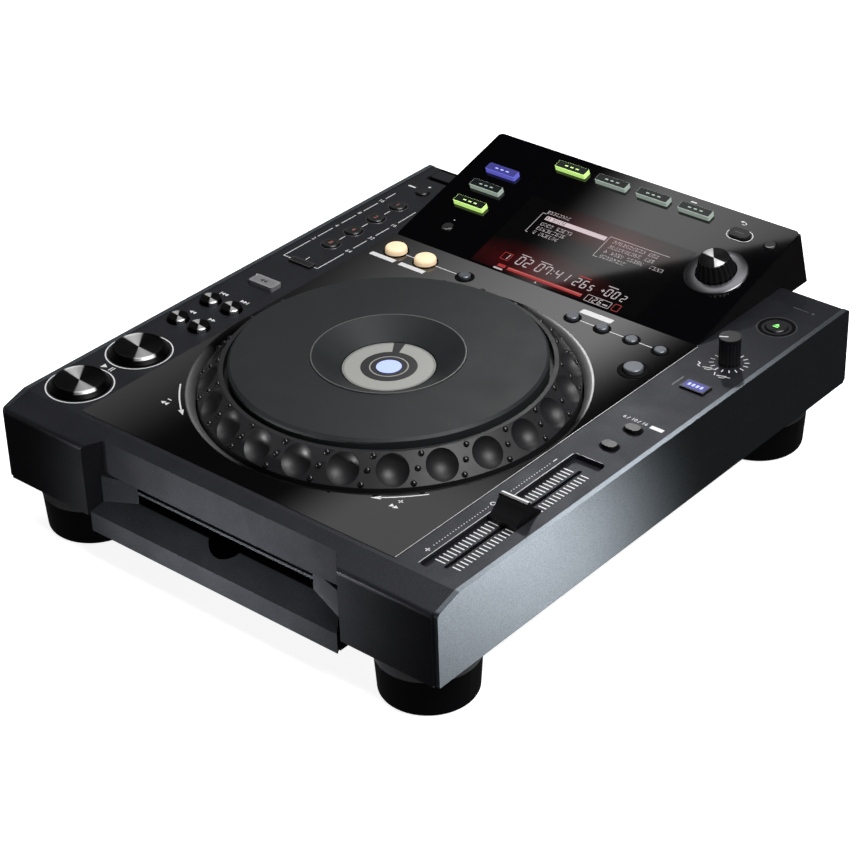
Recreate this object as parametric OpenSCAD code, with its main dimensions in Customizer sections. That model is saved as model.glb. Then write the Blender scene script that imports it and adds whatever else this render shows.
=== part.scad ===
// Tabletop disc player with a large jog wheel, a tilted display and a slot-loading drive.
// Origin: centre of the footprint, on the surface that the feet rest on. Front is -Y, up is +Z.
// Places on the deck are given as x from the centre line and y from the front edge.

/* [Body] */
// Deck on either side of the play and cue keys, which sets the width of the key columns
column_margin = 2.95; // [2.9:0.05:6]
// Depth of the deck from the display's front edge to the rear edge
rear_deck_d = 85.2; // [80:0.1:95]
// Height of the sides below the disc slot
under_slot_h = 12.2; // [12:0.1:18]
// Depth of the sloped strip along the front of the deck
front_slope_d = 17.7; // [14:0.1:20]
// Drop of the sloped strip
front_slope_h = 4.5; // [3:0.1:6]
// Thickness of the shell's walls
shell_wall = 2.8; // [2:0.1:3.5]
// Thickness of the deck's top
deck_skin = 3.2; // [3:0.1:4]
// Thickness of each side panel
side_panel_t = 3; // [2:0.1:4]
// Bevel along the side panels' upper edge
side_bevel = 1.3; // [0.5:0.1:2]

/* [Feet and base] */
// Height of the feet, from the table to the sides' lower edge
foot_h = 31; // [25:0.5:40]
// Radius of a foot at its top
foot_top_r = 28.5; // [22:0.5:30]
// Radius of a foot where it meets the table
foot_base_r = 26.1; // [20:0.1:28]
// Distance from a foot to the side panel beside it
foot_side_gap = 0.7; // [0.5:0.1:6]
// Distance from the front feet to the front edge
foot_front_gap = 1.9; // [1.5:0.1:15]
// Distance from the rear feet to the rear edge
foot_rear_gap = 10.3; // [5:0.1:40]
// Thickness of the base pan's sheet
pan_t = 1.2; // [0.8:0.1:2]
// Distance between the base pan's sunk middle and the feet
pan_well_gap = 4.8; // [3:0.1:12]
// Depth of the sunk middle below the sides
pan_well_h = 8.8; // [6:0.1:12]

/* [Front slot] */
// Half width of the recess at the front face
recess_x = 90; // [88:0.5:96]
// How much the recess narrows from the front face to the back, on each side
recess_taper = 6; // [4:0.1:8]
// Set-back of the brow
brow_y = 9.5; // [8:0.1:12]
// Drop of the brow's lower edge below the deck
brow_drop = 23; // [18:0.5:25]
// Half width of the disc slot
slot_x = 62; // [61:0.1:66]
// Height of the disc slot
slot_h = 6; // [5:0.1:6.5]
// Drop of the slot's lower edge below the deck
slot_drop = 35; // [32:0.1:36]
// Set-back of the slot
slot_y = 12; // [11.5:0.1:14]
// Height from the chin's upper edge to the slot
chin_rise = 9; // [7:0.1:9.5]
// Half width of the thumb notch in the slot's floor
notch_x = 11; // [8:0.5:14]
// Depth of the thumb notch
notch_d = 6; // [4:0.1:7]

/* [Centre plate] */
// Deck between the front slope and the gloss plate
plate_front_gap = 2.8; // [2.5:0.1:6]
// Width of the plate outside the jog well, at its narrowest
plate_margin = 0.2; // [0.2:0.1:4]
// Thickness of the plate
plate_t = 1.8; // [1.7:0.1:2]
// Depth of the pocket that the plate lies in
plate_pocket = 1.5; // [1.2:0.1:1.6]

/* [Jog wheel] */
// Outer radius of the jog wheel
jog_r = 103.4; // [98:0.1:104]
// Gap between the wheel and the rim of its well, at the deck
well_gap = 6.4; // [6:0.1:8]
// Plate in front of the well
jog_front_gap = 12.8; // [10:0.1:20]
// Width of the wheel's sloped ring, seen from above
ring_w = 12.4; // [10:0.1:14]
// Height of the top plate's face over the deck
jog_top_h = 17.6; // [16:0.1:22]
// Radius of the dish in the top plate
dish_r = 41.1; // [38:0.1:48]
// Radius of the display in the middle of the dish
jog_display_r = 25.4; // [22:0.1:28]
// Depth of that display below the top plate's face
dish_h = 8; // [6:0.1:9]
// Number of finger dimples round the wheel
dimple_count = 24; // [18:1:24]
// Radius of the ball that shapes a dimple
dimple_ball_r = 11; // [10:0.5:13]
// Half width of a dimple at the wheel's face
dimple_r = 8.8; // [7:0.1:9]
// Angle from the wheel's right side to the first dimple
dimple_turn = -3; // [-7:0.5:7]
// Radius of the fixed post that the wheel turns on
post_r = 8; // [6:0.1:9]
// Travel of the top plate when it is pressed
top_plate_travel = 0.6; // [0.3:0.1:1]

/* [Display] */
// Distance from the row of keys to the display's front edge
display_gap = 16.7; // [16:0.1:24]
// Tilt of the display
display_tilt = 15.8; // [12:0.1:18]
// Distance from the display's sides to the edges of the gloss plate
display_inset = 1.3; // [0.5:0.1:5]
// Length of the display along its slope
display_len = 104; // [103:0.5:108]
// Length of the display's rear face
display_rear_len = 37.5; // [34:0.5:42]
// Thickness of the clear cover
cover_t = 1.6; // [1.2:0.1:2]
// Thickness of the display housing's walls
housing_wall = 2.4; // [2:0.1:3]

/* [Keys] */
// Gap around every key
key_gap = 0.35; // [0.3:0.05:0.5]
// Travel of a small key
key_travel = 1; // [0.5:0.1:1.2]
// Radius of the play and cue keys at their foot
play_r = 16.8; // [14:0.1:17]
// Height of the play and cue keys over the deck
play_h = 4.2; // [3:0.1:6]
// Play key, from the front edge
play_key_y = 38.6; // [36:0.1:42]
// Distance from the play key to the cue key
play_pitch = 44.5; // [40:0.1:48]
// Radius of the search keys
search_r = 6.2; // [5:0.1:6.8]
// Distance from the cue key to the first search pair
search_gap = 38.9; // [34:0.1:42]
// Distance between the two search pairs
search_pitch = 26; // [18:0.1:30]
// Radius of the loop keys
loop_r = 5.3; // [4:0.1:6]
// Distance from the beat key to the first loop key
loop_gap = 27.8; // [24:0.1:30]
// Distance between loop keys
loop_pitch = 20.3; // [16:0.1:20.5]
// Radius of the small round keys
small_r = 3.6; // [3:0.1:4.2]
// Distance from the jog well to the row of keys behind it
row_gap = 4.6; // [4:0.1:8]

/* [Tempo slider and knobs] */
// Full travel of the slider
slider_travel = 100; // [60:1:100]
// Width of the slider's trough
trough_w = 20; // [19:0.1:22]
// Depth of the trough
trough_h = 3; // [2.5:0.1:3]
// Height of the slider's cap over the deck
cap_h = 9.5; // [7:0.1:12]
// Radius of the speed knob
knob_r = 6; // [5:0.1:7]
// Height of the speed knob over the deck
knob_h = 16.5; // [12:0.1:20]
// Radius of the rotary selector's grip at its foot
selector_r = 11.4; // [9:0.1:12]
// Radius of the grip at its top
selector_top_r = 8.8; // [7:0.1:9.5]
// Outer radius of the trim ring round the selector
selector_ring_r = 18.4; // [16:0.1:19]
// Height of the rotary selector over the cover
selector_h = 11.4; // [9:0.1:11.5]
// Travel of the rotary selector when it is pressed
selector_travel = 0.8; // [0.3:0.1:1]

/* [Disc drive] */
// Centre of the loaded disc, from the front edge
disc_y = 92; // [90:0.5:94]
// Width of the drive's frame outside the slot, on each side
drive_margin = 10; // [8:0.5:14]
// Travel of the laser sled
sled_travel = 34; // [28:1:36]
// Radius of the feed roller
roller_r = 5; // [4:0.1:5.4]

/* [Hidden] */

round_fn = 64;
cut = 1;

// Widths, from the centre line out
well_r = jog_r + well_gap;
plate_x = well_r + plate_margin;
column_w = 2 * (play_r + column_margin);
shell_x = plate_x + column_w;
body_w = 2 * (shell_x + side_panel_t);
column_x = plate_x + column_w / 2 + 1.25;
foot_x = shell_x - foot_top_r - foot_side_gap;
pan_well_x = foot_x - foot_top_r - pan_well_gap;
display_x = plate_x - display_inset;
recess_back_x = recess_x - recess_taper;
drive_x = slot_x + drive_margin;

// Depths, from the front edge back
plate_y = front_slope_d + plate_front_gap;
jog_y = plate_y + jog_front_gap + well_r;
row_key_y = jog_y + well_r + row_gap;
display_y = row_key_y + display_gap;
deck_d = display_y + rear_deck_d;
front_foot_y = foot_top_r + foot_front_gap;
rear_foot_y = deck_d - foot_top_r - foot_rear_gap;

// Frame of the deck
side_h = slot_drop + under_slot_h;
chin_drop = slot_drop + chin_rise;
deck_z = foot_h + side_h;
display_run = display_len * cos(display_tilt);
display_rise = display_len * sin(display_tilt);
overall_d = display_y + display_run + display_rear_len * sin(display_tilt);
front_y = -overall_d / 2;
front_round = 3;
rear_round = 3;

// Recess and slot
recess_round = 3.5;
ramp_y = 6.4;
fascia_fit = 0.3;
notch_ball = (notch_x * notch_x + notch_d * notch_d) / (2 * notch_d);
slot_lip_t = 3;
mouth_lip_h = 1.6;
mouth_lip_d = 3;
slot_throat_y = slot_y + 5.5;

// Parts under the deck
well_wall = 2.2;
well_floor_drop = 16;
well_cone_h = 4.5;
well_cone_r = 4.4;
board_t = 1.6;
board_drop = 13.6;
switch_drop = 8;
switch_w = 6;
key_flange = 1;
flange_t = 1.4;
flange_play = 0.3;
key_stem_r = 2;
large_neck_r = play_r - 3.2;
large_seat_h = key_travel + 1.2;
large_seat_t = 2.2;
post_head_r = 2.5;

// Tempo slider
slider_slot_w = 2.2;
slider_slot_len = slider_travel + 8;
slider_x = column_x + 0.5;
cap_w = 17.4;
cap_d = 20;
cap_gap = 1.9;
cap_ridge = 3;
cap_lift = 0.6;
trough_y = plate_y + 3.5;
trough_d = slider_travel + cap_d + 2 * cap_gap;
slider_mid_y = trough_y + trough_d / 2;
slider_stem_w = 1.4;
slider_stem_d = 6;

// Places of keys on the deck, from the centre line and the front edge
left_x = -column_x;
right_x = column_x;
play_x = left_x + 0.3;
cue_key_y = play_key_y + play_pitch;
search_key_y = cue_key_y + search_gap;
search_dx = search_r + 2;
track_key_y = search_key_y + search_pitch;
direction_x = left_x + 3;
direction_y = track_key_y + 33.3;
direction_w = 18.6;
direction_d = 8.8;
beat_select_x = left_x + 2.4;
beat_select_y = direction_y + 31.9;
loop_key_y = beat_select_y + loop_gap;
beat_select_w = 17;
beat_select_d = 5.4;
media_stop_y = loop_key_y + 3 * loop_pitch + 23.1;
media_stop_r = 4.2;
port_x = left_x - 3;
port_w = 17;
port_d = 15.6;
port_y = deck_d - 2.4 - port_d / 2;
port_cut_h = 10;
flap_t = 1.6;
flap_gap = 0.4;
flap_d = 10.6;
flap_pin_r = 0.8;
flap_knuckle_r = 1.4;
flap_axis_y = port_y + port_d / 2 - 2.4;
flap_axis_drop = 1.9;
loop_in_x = 16 - plate_x;
loop_out_x = loop_in_x + 22.3;
loop_dome_r = 6.6;
reloop_x = loop_in_x + 52;
memory_x = plate_x - 14;
delete_x = memory_x - 19.4;
call_x = [delete_x - 40.6, delete_x - 20.1];
slip_x = memory_x + 0.6;
slip_y = row_key_y - 25.5;
slip_r = 5.6;
eject_x = right_x + 0.6;
eject_y = deck_d - 41.6;
eject_r = 6.4;
oval_w = 8.6;
oval_d = 6;
tempo_lock_x = right_x + 0.8;
tempo_lock_y = trough_y + trough_d + 15.6;
tempo_range_x = right_x + 1;
tempo_range_y = tempo_lock_y + 20;
jog_mode_x = right_x + 2.3;
jog_mode_y = tempo_range_y + 54.2;
jog_mode_w = 15.2;
jog_mode_d = 9;
knob_x = right_x + 1.6;
knob_y = jog_mode_y + 32.6;

// Places of keys on the display, from its centre line and its front edge
source_u = 25.4 - display_x;
source_v = [display_len - 31, display_len - 47, display_len - 63];
top_key_u = [-45, -15.2, 14.7, 44.5];
top_key_v = display_len - 11.2;
bar_w = 22;
bar_d = 6;
bar_h = 2.6;
time_u = 25 - display_x;
time_v = 18.7;
back_u = display_x - 30;
back_v = display_len - 16.9;
back_w = 13;
back_d = 7;
tag_track_u = display_x - 9.4;
tag_track_v = back_v;
selector_u = display_x - 24.1;
selector_v = display_len - 49.5;
display_key_drop = 8;
lcd_u = 6;
lcd_v = 36;
lcd_w = 112;
lcd_d = 56;
lcd_t = 4;
selector_shaft_r = 3.5;
selector_lift = 1.4;
knob_shaft_r = 3;

// Disc drive, as drops below the deck
disc_drop = slot_drop - slot_h / 2;
drive_front_y = slot_throat_y + 2;
drive_rear_y = disc_y + 78;
drive_floor_z = foot_h - pan_well_h + pan_t + 3;
frame_t = 1.2;
frame_top_drop = 20.5;
rail_r = 1.5;
rail_x = 25;
shaft_fit = 0.05;
spindle_r = 1.5;
turntable_r = 13;
sled_start = 25;
sled_start_y = disc_y + sled_start;
sled_margin = 4.5;
roller_inset = 8;
roller_y = drive_front_y + roller_inset;
roller_side_gap = 4;
roller_len = 2 * (drive_x - roller_side_gap);
spindle_h = 14;
roller_shaft_r = 2;

// Rear panel
rear_panel_x = shell_x - 11.5;
rear_panel_top_drop = 12;
rear_panel_bottom_drop = side_h - 3.2;
rear_panel_t = 1.2;
socket_rise = 15;
socket_drop = rear_panel_bottom_drop - socket_rise;
inlet_side_gap = 26;
switch_pitch = 30;
jack_side_gaps = [38, 22];
network_pitch = 40;
computer_pitch = 30;

// Screws, from the centre line and the front edge
screw_x = shell_x - 6.5;
screw_foot_gap = 0.35;
screw_ys = [
    play_key_y + play_pitch / 2, (track_key_y + direction_y) / 2,
    rear_foot_y - foot_top_r - screw_foot_gap
];
screw_len = 8;
screw_r = 1.45;
boss_r = 4.3;
standoff_r = 3;
main_board_drop = side_h - 6;

ink = "#17181c";
shell_grey = "#26282d";
gloss_black = "#0c0c0e";
silver = "#c9ccd2";
steel = "#9aa0a8";

// ---- Helpers ----

// Points of an arc, from angle a0 to a1
function arc(c, r, a0, a1, n = 5) =
    [for (i = [0:n]) let (a = a0 + (a1 - a0) * i / n) c + r * [cos(a), sin(a)]];

// Moves a child to a place on the deck
module on_deck(x, y, z = 0) {
    translate([x, front_y + y, deck_z + z])
        children();
}

// Moves a child to a place on the display's face, with z along the face's normal
module on_display(u, v, z = 0) {
    translate([0, front_y + display_y, deck_z])
        rotate([display_tilt, 0, 0])
            translate([u, v, z])
                children();
}

// Extrudes an outline of [y from the front edge, z over the deck] over x0..x1
module along_x(points, x0, x1) {
    translate([x0, front_y, deck_z])
        rotate([90, 0, 90])
            linear_extrude(x1 - x0)
                polygon(points);
}

// Plate with rounded corners, centred, from z0 up
module round_plate(w, d, h, r, z0 = 0) {
    translate([0, 0, z0])
        linear_extrude(h)
            round_outline(w, d, r);
}

module round_outline(w, d, r) {
    square([w - 2 * r, d], center = true);
    square([w, d - 2 * r], center = true);
    for (sx = [-1, 1], sy = [-1, 1])
        translate([sx * (w / 2 - r), sy * (d / 2 - r)])
            circle(r, $fn = round_fn);
}

module tube_hole(r, z0, z1) {
    translate([0, 0, z0])
        cylinder(h = z1 - z0, r = r, $fn = round_fn);
}

// Round key: a cap with a broken edge, a flange under the skin and a stem to the switch
module round_key(r, h, skin, drop = switch_drop, travel = key_travel) {
    edge = 0.5;
    below = skin + flange_play;
    rotate_extrude($fn = round_fn)
        polygon([
            [0, h], [r - edge, h], [r, h - edge], [r, -below],
            [r + key_flange, -below], [r + key_flange, -below - flange_t],
            [key_stem_r, -below - flange_t], [key_stem_r, travel + flange_play - drop],
            [0, travel + flange_play - drop]
        ]);
}

// Key with straight sides: a cap, a flange under the skin and a stem to the switch
module bar_key(w, d, h, skin, drop = switch_drop, travel = key_travel, r = 0.8) {
    below = skin + flange_play;
    foot = travel + flange_play - drop;
    round_plate(w, d, h + below, r, -below);
    round_plate(w + 2 * key_flange, d + 2 * key_flange, flange_t, r, -below - flange_t);
    translate([0, 0, foot])
        cylinder(h = -below - flange_t - foot, r = key_stem_r, $fn = round_fn);
}

// ---- Shell ----

function deck_outline() = concat(
    [[0, -side_h]],
    arc([front_round, -front_slope_h - front_round * 0.75], front_round, 180, 104),
    [[front_slope_d, 0]],
    arc([deck_d - rear_round, -rear_round], rear_round, 90, 0),
    [[deck_d, -side_h]]
);

function deck_inside() = [
    [shell_wall, -side_h - cut],
    [shell_wall, -front_slope_h - shell_wall],
    [front_slope_d, -deck_skin],
    [deck_d - shell_wall, -deck_skin],
    [deck_d - shell_wall, -side_h - cut]
];

// Plan of the recess above the brow's lower edge, as [x, y from the front edge]
function recess_plan(back) = concat(
    [[-recess_x, -cut], [recess_x, -cut], [recess_x, 0]],
    arc([recess_back_x - recess_round, back - recess_round], recess_round, 20, 90),
    arc([recess_round - recess_back_x, back - recess_round], recess_round, 90, 160),
    [[-recess_x, 0]]
);

module recess_cut() {
    on_deck(0, 0, -side_h - cut)
        linear_extrude(side_h + 2 * cut)
            polygon(recess_plan(brow_y));
}

// Opening behind the brow that the fascia and the disc reach through
module throat_cut() {
    back_y = slot_throat_y + 3;
    on_deck(-recess_back_x + fascia_fit, ramp_y - cut, -side_h - cut)
        cube([2 * (recess_back_x - fascia_fit), back_y - ramp_y + cut, side_h + cut - brow_drop]);
}

// Walls that carry the recess: the brow and a cheek on each side
module recess_walls() {
    cheek_w = 12;
    cheek_lap = 1;
    along_x([
        [brow_y - cut, -brow_drop], [brow_y - cut, -front_slope_h],
        [front_slope_d, -deck_skin + 0.2], [front_slope_d, -brow_drop]
    ], -recess_x, recess_x);
    for (side = [-1, 1])
        translate([side * (recess_x + shell_wall - cheek_w / 2), 0, 0])
            along_x([
                [0.5, pan_t - side_h], [0.5, -front_slope_h - front_round],
                [shell_wall, cheek_lap - front_slope_h - shell_wall],
                [front_slope_d, cheek_lap - deck_skin], [front_slope_d, pan_t - side_h]
            ], -cheek_w / 2, cheek_w / 2);
}

module jog_well() {
    on_deck(0, jog_y)
        rotate_extrude($fn = 128)
            polygon([
                [post_r + 3, -well_floor_drop], [well_r + 1, -well_floor_drop],
                [well_r + 1, -deck_skin + 0.2], [well_r - well_cone_r, -deck_skin + 0.2],
                [well_r - well_cone_r, well_wall - well_floor_drop],
                [post_r + 3, well_wall - well_floor_drop]
            ]);
}

module jog_well_cut() {
    on_deck(0, jog_y)
        rotate_extrude($fn = 128)
            polygon([
                [0, well_wall - well_floor_drop],
                [well_r - well_cone_r, well_wall - well_floor_drop],
                [well_r - well_cone_r, -well_cone_h], [well_r, 0], [well_r, cut], [0, cut]
            ]);
}

module round_hole(x, y, r) {
    on_deck(x, y)
        tube_hole(r + key_gap, -deck_skin - cut, cut);
}

module bar_hole(x, y, w, d) {
    on_deck(x, y)
        round_plate(w + 2 * key_gap, d + 2 * key_gap, deck_skin + 2 * cut, 0.8 + key_gap, -deck_skin - cut);
}

module large_seats() {
    for (y = [play_key_y, cue_key_y])
        on_deck(play_x, y)
            tube_hole(large_neck_r + 3, -large_seat_h - large_seat_t, -deck_skin + 0.2);
}

module large_seat_cuts() {
    for (y = [play_key_y, cue_key_y])
        on_deck(play_x, y) {
            tube_hole(play_r + key_gap, -large_seat_h, cut);
            tube_hole(large_neck_r + key_gap, -large_seat_h - large_seat_t - cut, 0);
        }
}

module key_holes() {
    for (y = [search_key_y, track_key_y], side = [-1, 1])
        round_hole(left_x + side * search_dx, y, search_r);
    for (i = [0:3])
        round_hole(left_x, loop_key_y + i * loop_pitch, loop_r);
    round_hole(left_x, media_stop_y, media_stop_r);
    bar_hole(direction_x, direction_y, direction_w, direction_d);
    bar_hole(beat_select_x, beat_select_y, beat_select_w, beat_select_d);
    round_hole(eject_x, eject_y, eject_r);
    round_hole(knob_x, knob_y, knob_shaft_r);
    bar_hole(jog_mode_x, jog_mode_y, jog_mode_w, jog_mode_d);
    bar_hole(tempo_range_x, tempo_range_y, oval_w, oval_d);
    bar_hole(tempo_lock_x, tempo_lock_y, oval_w, oval_d);
    row_holes();
}

// Holes that go through both the plate and the deck
module row_holes() {
    round_hole(loop_in_x, row_key_y, loop_dome_r);
    round_hole(loop_out_x, row_key_y, loop_dome_r);
    for (x = [reloop_x, call_x[0], call_x[1], delete_x, memory_x])
        round_hole(x, row_key_y, small_r);
    round_hole(slip_x, slip_y, slip_r);
}

module slider_trough() {
    on_deck(slider_x, slider_mid_y) {
        round_plate(trough_w, trough_d, trough_h + cut, 2.5, -trough_h);
        round_plate(slider_slot_w, slider_slot_len, 2 * trough_h, slider_slot_w / 2 - 0.01, -2 * trough_h - 0.5);
    }
}

// Thicker deck under the trough, so that its floor is as thick as the skin
module trough_floor() {
    on_deck(slider_x, slider_mid_y)
        round_plate(trough_w + 4, trough_d + 4, trough_h, 3, -trough_h - 2);
}

module port_cut() {
    on_deck(port_x, port_y)
        round_plate(port_w, port_d, port_cut_h + cut, 1, -port_cut_h);
    on_deck(port_x - port_w / 2 - 1.6, flap_axis_y, -flap_axis_drop)
        rotate([0, 90, 0])
            cylinder(h = port_w + 3.2, r = flap_pin_r + shaft_fit, $fn = round_fn);
}

module port_box() {
    on_deck(port_x, port_y)
        round_plate(port_w + 4, port_d + 4, port_cut_h, 2, -port_cut_h - 2);
}

// Posts under the deck that carry the key boards
module board_posts() {
    posts = [
        [left_x + 6, search_key_y - 19], [left_x + 6, direction_y + 14.7],
        [left_x + 13, media_stop_y - 7], [right_x - 13, tempo_range_y + 22.6],
        [right_x - 11, knob_y + 23.8], [10, row_key_y + 3], [-20, row_key_y + 3]
    ];
    for (p = posts)
        on_deck(p[0], p[1])
            tube_hole(post_head_r, -board_drop, -deck_skin + 0.2);
}

module plate_pocket_cut() {
    on_deck(-plate_x, plate_y, -plate_pocket)
        cube([2 * plate_x, display_y - plate_y, plate_pocket + cut]);
}

module display_well_cut() {
    inset = 12;
    front = 6;
    on_deck(-display_x + inset, display_y + front, -deck_skin - cut)
        cube([2 * (display_x - inset), deck_d - display_y - front - inset, deck_skin + 2 * cut]);
}

module rear_panel_cut(grow = 0) {
    on_deck(-rear_panel_x - grow, deck_d - shell_wall - cut, -rear_panel_bottom_drop - grow)
        cube([
            2 * (rear_panel_x + grow), shell_wall + 2 * cut,
            rear_panel_bottom_drop - rear_panel_top_drop + 2 * grow
        ]);
}

module screw_bosses() {
    for (side = [-1, 1], y = screw_ys)
        on_deck(side * screw_x, y)
            tube_hole(boss_r, pan_t - side_h, -deck_skin + 0.2);
}

module deck_shell() {
    color(shell_grey)
        difference() {
            union() {
                difference() {
                    along_x(deck_outline(), -shell_x, shell_x);
                    along_x(deck_inside(), -shell_x + shell_wall, shell_x - shell_wall);
                }
                recess_walls();
                jog_well();
                trough_floor();
                port_box();
                screw_bosses();
                large_seats();
                board_posts();
            }
            recess_cut();
            throat_cut();
            jog_well_cut();
            on_deck(0, jog_y)
                tube_hole(post_r + 4, -well_floor_drop - cut, 0);
            large_seat_cuts();
            key_holes();
            slider_trough();
            port_cut();
            plate_pocket_cut();
            display_well_cut();
            rear_panel_cut();
            for (side = [-1, 1], y = screw_ys)
                on_deck(side * screw_x, y)
                    tube_hole(screw_r + shaft_fit, pan_t - side_h - cut, screw_len + 1 - side_h);
        }
}

// Outline of a side panel, as [y from the front edge, z over the deck]
function side_outline() = concat(
    [[side_inset, -side_h]],
    arc([side_inset + front_round, -front_slope_h - front_round * 0.75], front_round, 180, 104),
    [[front_slope_d, side_lip]],
    arc([deck_d - rear_round, side_lip - rear_round], rear_round, 90, 0),
    [[deck_d, -side_h + 2], [deck_d - 2, -side_h]]
);
side_inset = 1.4;
side_lip = 0.4;

module side_panel() {
    slope = atan(front_slope_h / (front_slope_d - side_inset));
    difference() {
        along_x(side_outline(), shell_x, body_w / 2);
        on_deck(body_w / 2, 0, side_lip)
            rotate([0, 45, 0])
                translate([-side_bevel / sqrt(2), -cut, 0])
                    cube([4 * side_bevel, deck_d + 2 * cut, 4 * side_bevel]);
        on_deck(body_w / 2, front_slope_d, side_lip)
            rotate([slope, 0, 0])
                rotate([0, 45, 0])
                    translate([-side_bevel / sqrt(2), -2 * front_slope_d, 0])
                        cube([4 * side_bevel, 2 * front_slope_d, 4 * side_bevel]);
    }
}

module side_panels() {
    color(steel) {
        side_panel();
        mirror([1, 0, 0])
            side_panel();
    }
}

module centre_plate() {
    color(gloss_black)
        difference() {
            on_deck(-plate_x, plate_y, -plate_pocket)
                cube([2 * plate_x, display_y - plate_y, plate_t]);
            on_deck(0, jog_y)
                tube_hole(well_r, -2 * cut, 2 * cut);
            row_holes();
        }
}

// ---- Front fascia ----

function fascia_profile() = [
    [0, -chin_drop], [slot_y, -slot_drop], [slot_throat_y, -slot_drop],
    [slot_throat_y, -slot_drop - slot_lip_t], [slot_y + 1, -slot_drop - slot_lip_t],
    [shell_wall, pan_t + fascia_fit - side_h], [shell_wall, -side_h - pan_well_h], [0, -side_h - pan_well_h]
];

module slot_fascia() {
    slot_top = slot_drop - slot_h;
    fascia_top = brow_drop;
    inner_x = recess_back_x - fascia_fit;
    color(shell_grey)
        difference() {
            union() {
                intersection() {
                    along_x(fascia_profile(), -inner_x - 4, inner_x + 4);
                    on_deck(0, 0, -side_h - pan_well_h - cut)
                        linear_extrude(side_h + pan_well_h)
                            polygon([
                                [-inner_x - 4, -cut], [inner_x + 4, -cut], [inner_x + 4, 0],
                                [inner_x, ramp_y], [inner_x, 30], [-inner_x, 30],
                                [-inner_x, ramp_y], [-inner_x - 4, 0]
                            ]);
                }
                for (side = [-1, 1])
                    on_deck(0, 0, -chin_drop - 1)
                        linear_extrude(chin_drop + 1 - fascia_top)
                            polygon([
                                [side * inner_x, ramp_y], [side * slot_x, slot_y],
                                [side * slot_x, slot_throat_y], [side * inner_x, slot_throat_y]
                            ]);
                along_x([
                    [slot_y, -slot_top], [slot_y, mouth_lip_h - slot_top],
                    [slot_y + mouth_lip_d, mouth_lip_h - slot_top], [slot_y + mouth_lip_d, -fascia_top],
                    [slot_throat_y, -fascia_top], [slot_throat_y, -slot_top]
                ], -inner_x, inner_x);
            }
            on_deck(0, slot_y - notch_d + notch_ball, -chin_drop)
                tube_hole(notch_ball, 0, chin_drop - slot_drop + 1);
        }
}

// ---- Base ----

module base_pan() {
    flange_x = shell_x - shell_wall;
    flange_y = deck_d - shell_wall;
    well_d = rear_foot_y + 9;
    color(steel)
        difference() {
            union() {
                on_deck(-flange_x, shell_wall, -side_h)
                    cube([2 * flange_x, flange_y - shell_wall, pan_t]);
                on_deck(-pan_well_x, shell_wall, -side_h - pan_well_h)
                    cube([2 * pan_well_x, well_d, pan_well_h + cut / 2]);
                for (side = [-1, 1], y = [board_y + 12, board_y + board_d - 12])
                    on_deck(side * (board_edge_x - 8), y)
                        tube_hole(standoff_r, pan_t / 2 - side_h, -main_board_drop);
            }
            on_deck(-pan_well_x + pan_t, shell_wall + pan_t, -side_h - pan_well_h + pan_t)
                cube([2 * (pan_well_x - pan_t), well_d - 2 * pan_t, pan_well_h + 2 * cut]);
            for (side = [-1, 1], y = screw_ys)
                on_deck(side * screw_x, y, -side_h)
                    tube_hole(screw_r + 0.3, -cut, pan_t + cut);
        }
}

module rubber_feet() {
    collar = 3;
    base_round = 2.5;
    color(ink)
        for (side = [-1, 1], y = [front_foot_y, rear_foot_y])
            translate([side * foot_x, front_y + y, 0])
                rotate_extrude($fn = round_fn)
                    polygon(concat(
                        [[0, 0]],
                        arc([foot_base_r - base_round, base_round], base_round, -90, 0),
                        [
                            [foot_top_r - 0.8, foot_h - collar], [foot_top_r, foot_h - collar],
                            [foot_top_r, foot_h], [0, foot_h]
                        ]
                    ));
}

module base_screws() {
    head_r = 3;
    head_h = 1.6;
    color(steel)
        for (side = [-1, 1], y = screw_ys)
            on_deck(side * screw_x, y, -side_h) {
                difference() {
                    tube_hole(head_r, -head_h, 0);
                    translate([-0.5, -head_r, -head_h - cut])
                        cube([1, 2 * head_r, 1.7]);
                }
                tube_hole(screw_r, -0.1, screw_len);
            }
}

// ---- Display ----

module display_housing() {
    color(shell_grey)
        difference() {
            along_x(housing_outline(), -display_x, display_x);
            along_x(housing_inside(), -display_x + housing_wall, display_x - housing_wall);
            display_holes(-cover_t - housing_wall - 2, -cover_t + cut);
            on_display(time_u, time_v)
                tube_hole(small_r + key_flange + key_gap, -display_key_drop, -cover_t - housing_wall);
            on_display(lcd_u, lcd_v, -cover_t - lcd_t - cut)
                translate([-lcd_w / 2, -lcd_d / 2, 0])
                    cube([lcd_w, lcd_d, lcd_t + 2 * cut]);
        }
}

// Point of the display's section: v along the slope from the front edge, n along the normal
function slope_point(v, n) = [
    display_y + v * cos(display_tilt) - n * sin(display_tilt),
    v * sin(display_tilt) + n * cos(display_tilt)
];

function housing_outline() = [
    [slope_point(0, 0)[0] + cover_t / sin(display_tilt), 0],
    slope_point(display_len, -cover_t),
    slope_point(display_len, -display_rear_len),
    [deck_d, slope_point(display_len, -display_rear_len)[1]],
    [deck_d, 0]
];

function housing_inside() = let (
    lid = cover_t + housing_wall,
    back = display_len - housing_wall
) [
    [display_y + (lid + 1) / sin(display_tilt), -cut],
    [display_y + (lid + 1) / sin(display_tilt), 1 / cos(display_tilt)],
    slope_point(back, -lid),
    slope_point(back, -display_rear_len + housing_wall),
    [deck_d + housing_wall, slope_point(back, -display_rear_len + housing_wall)[1]],
    [deck_d + housing_wall, -cut]
];

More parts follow.
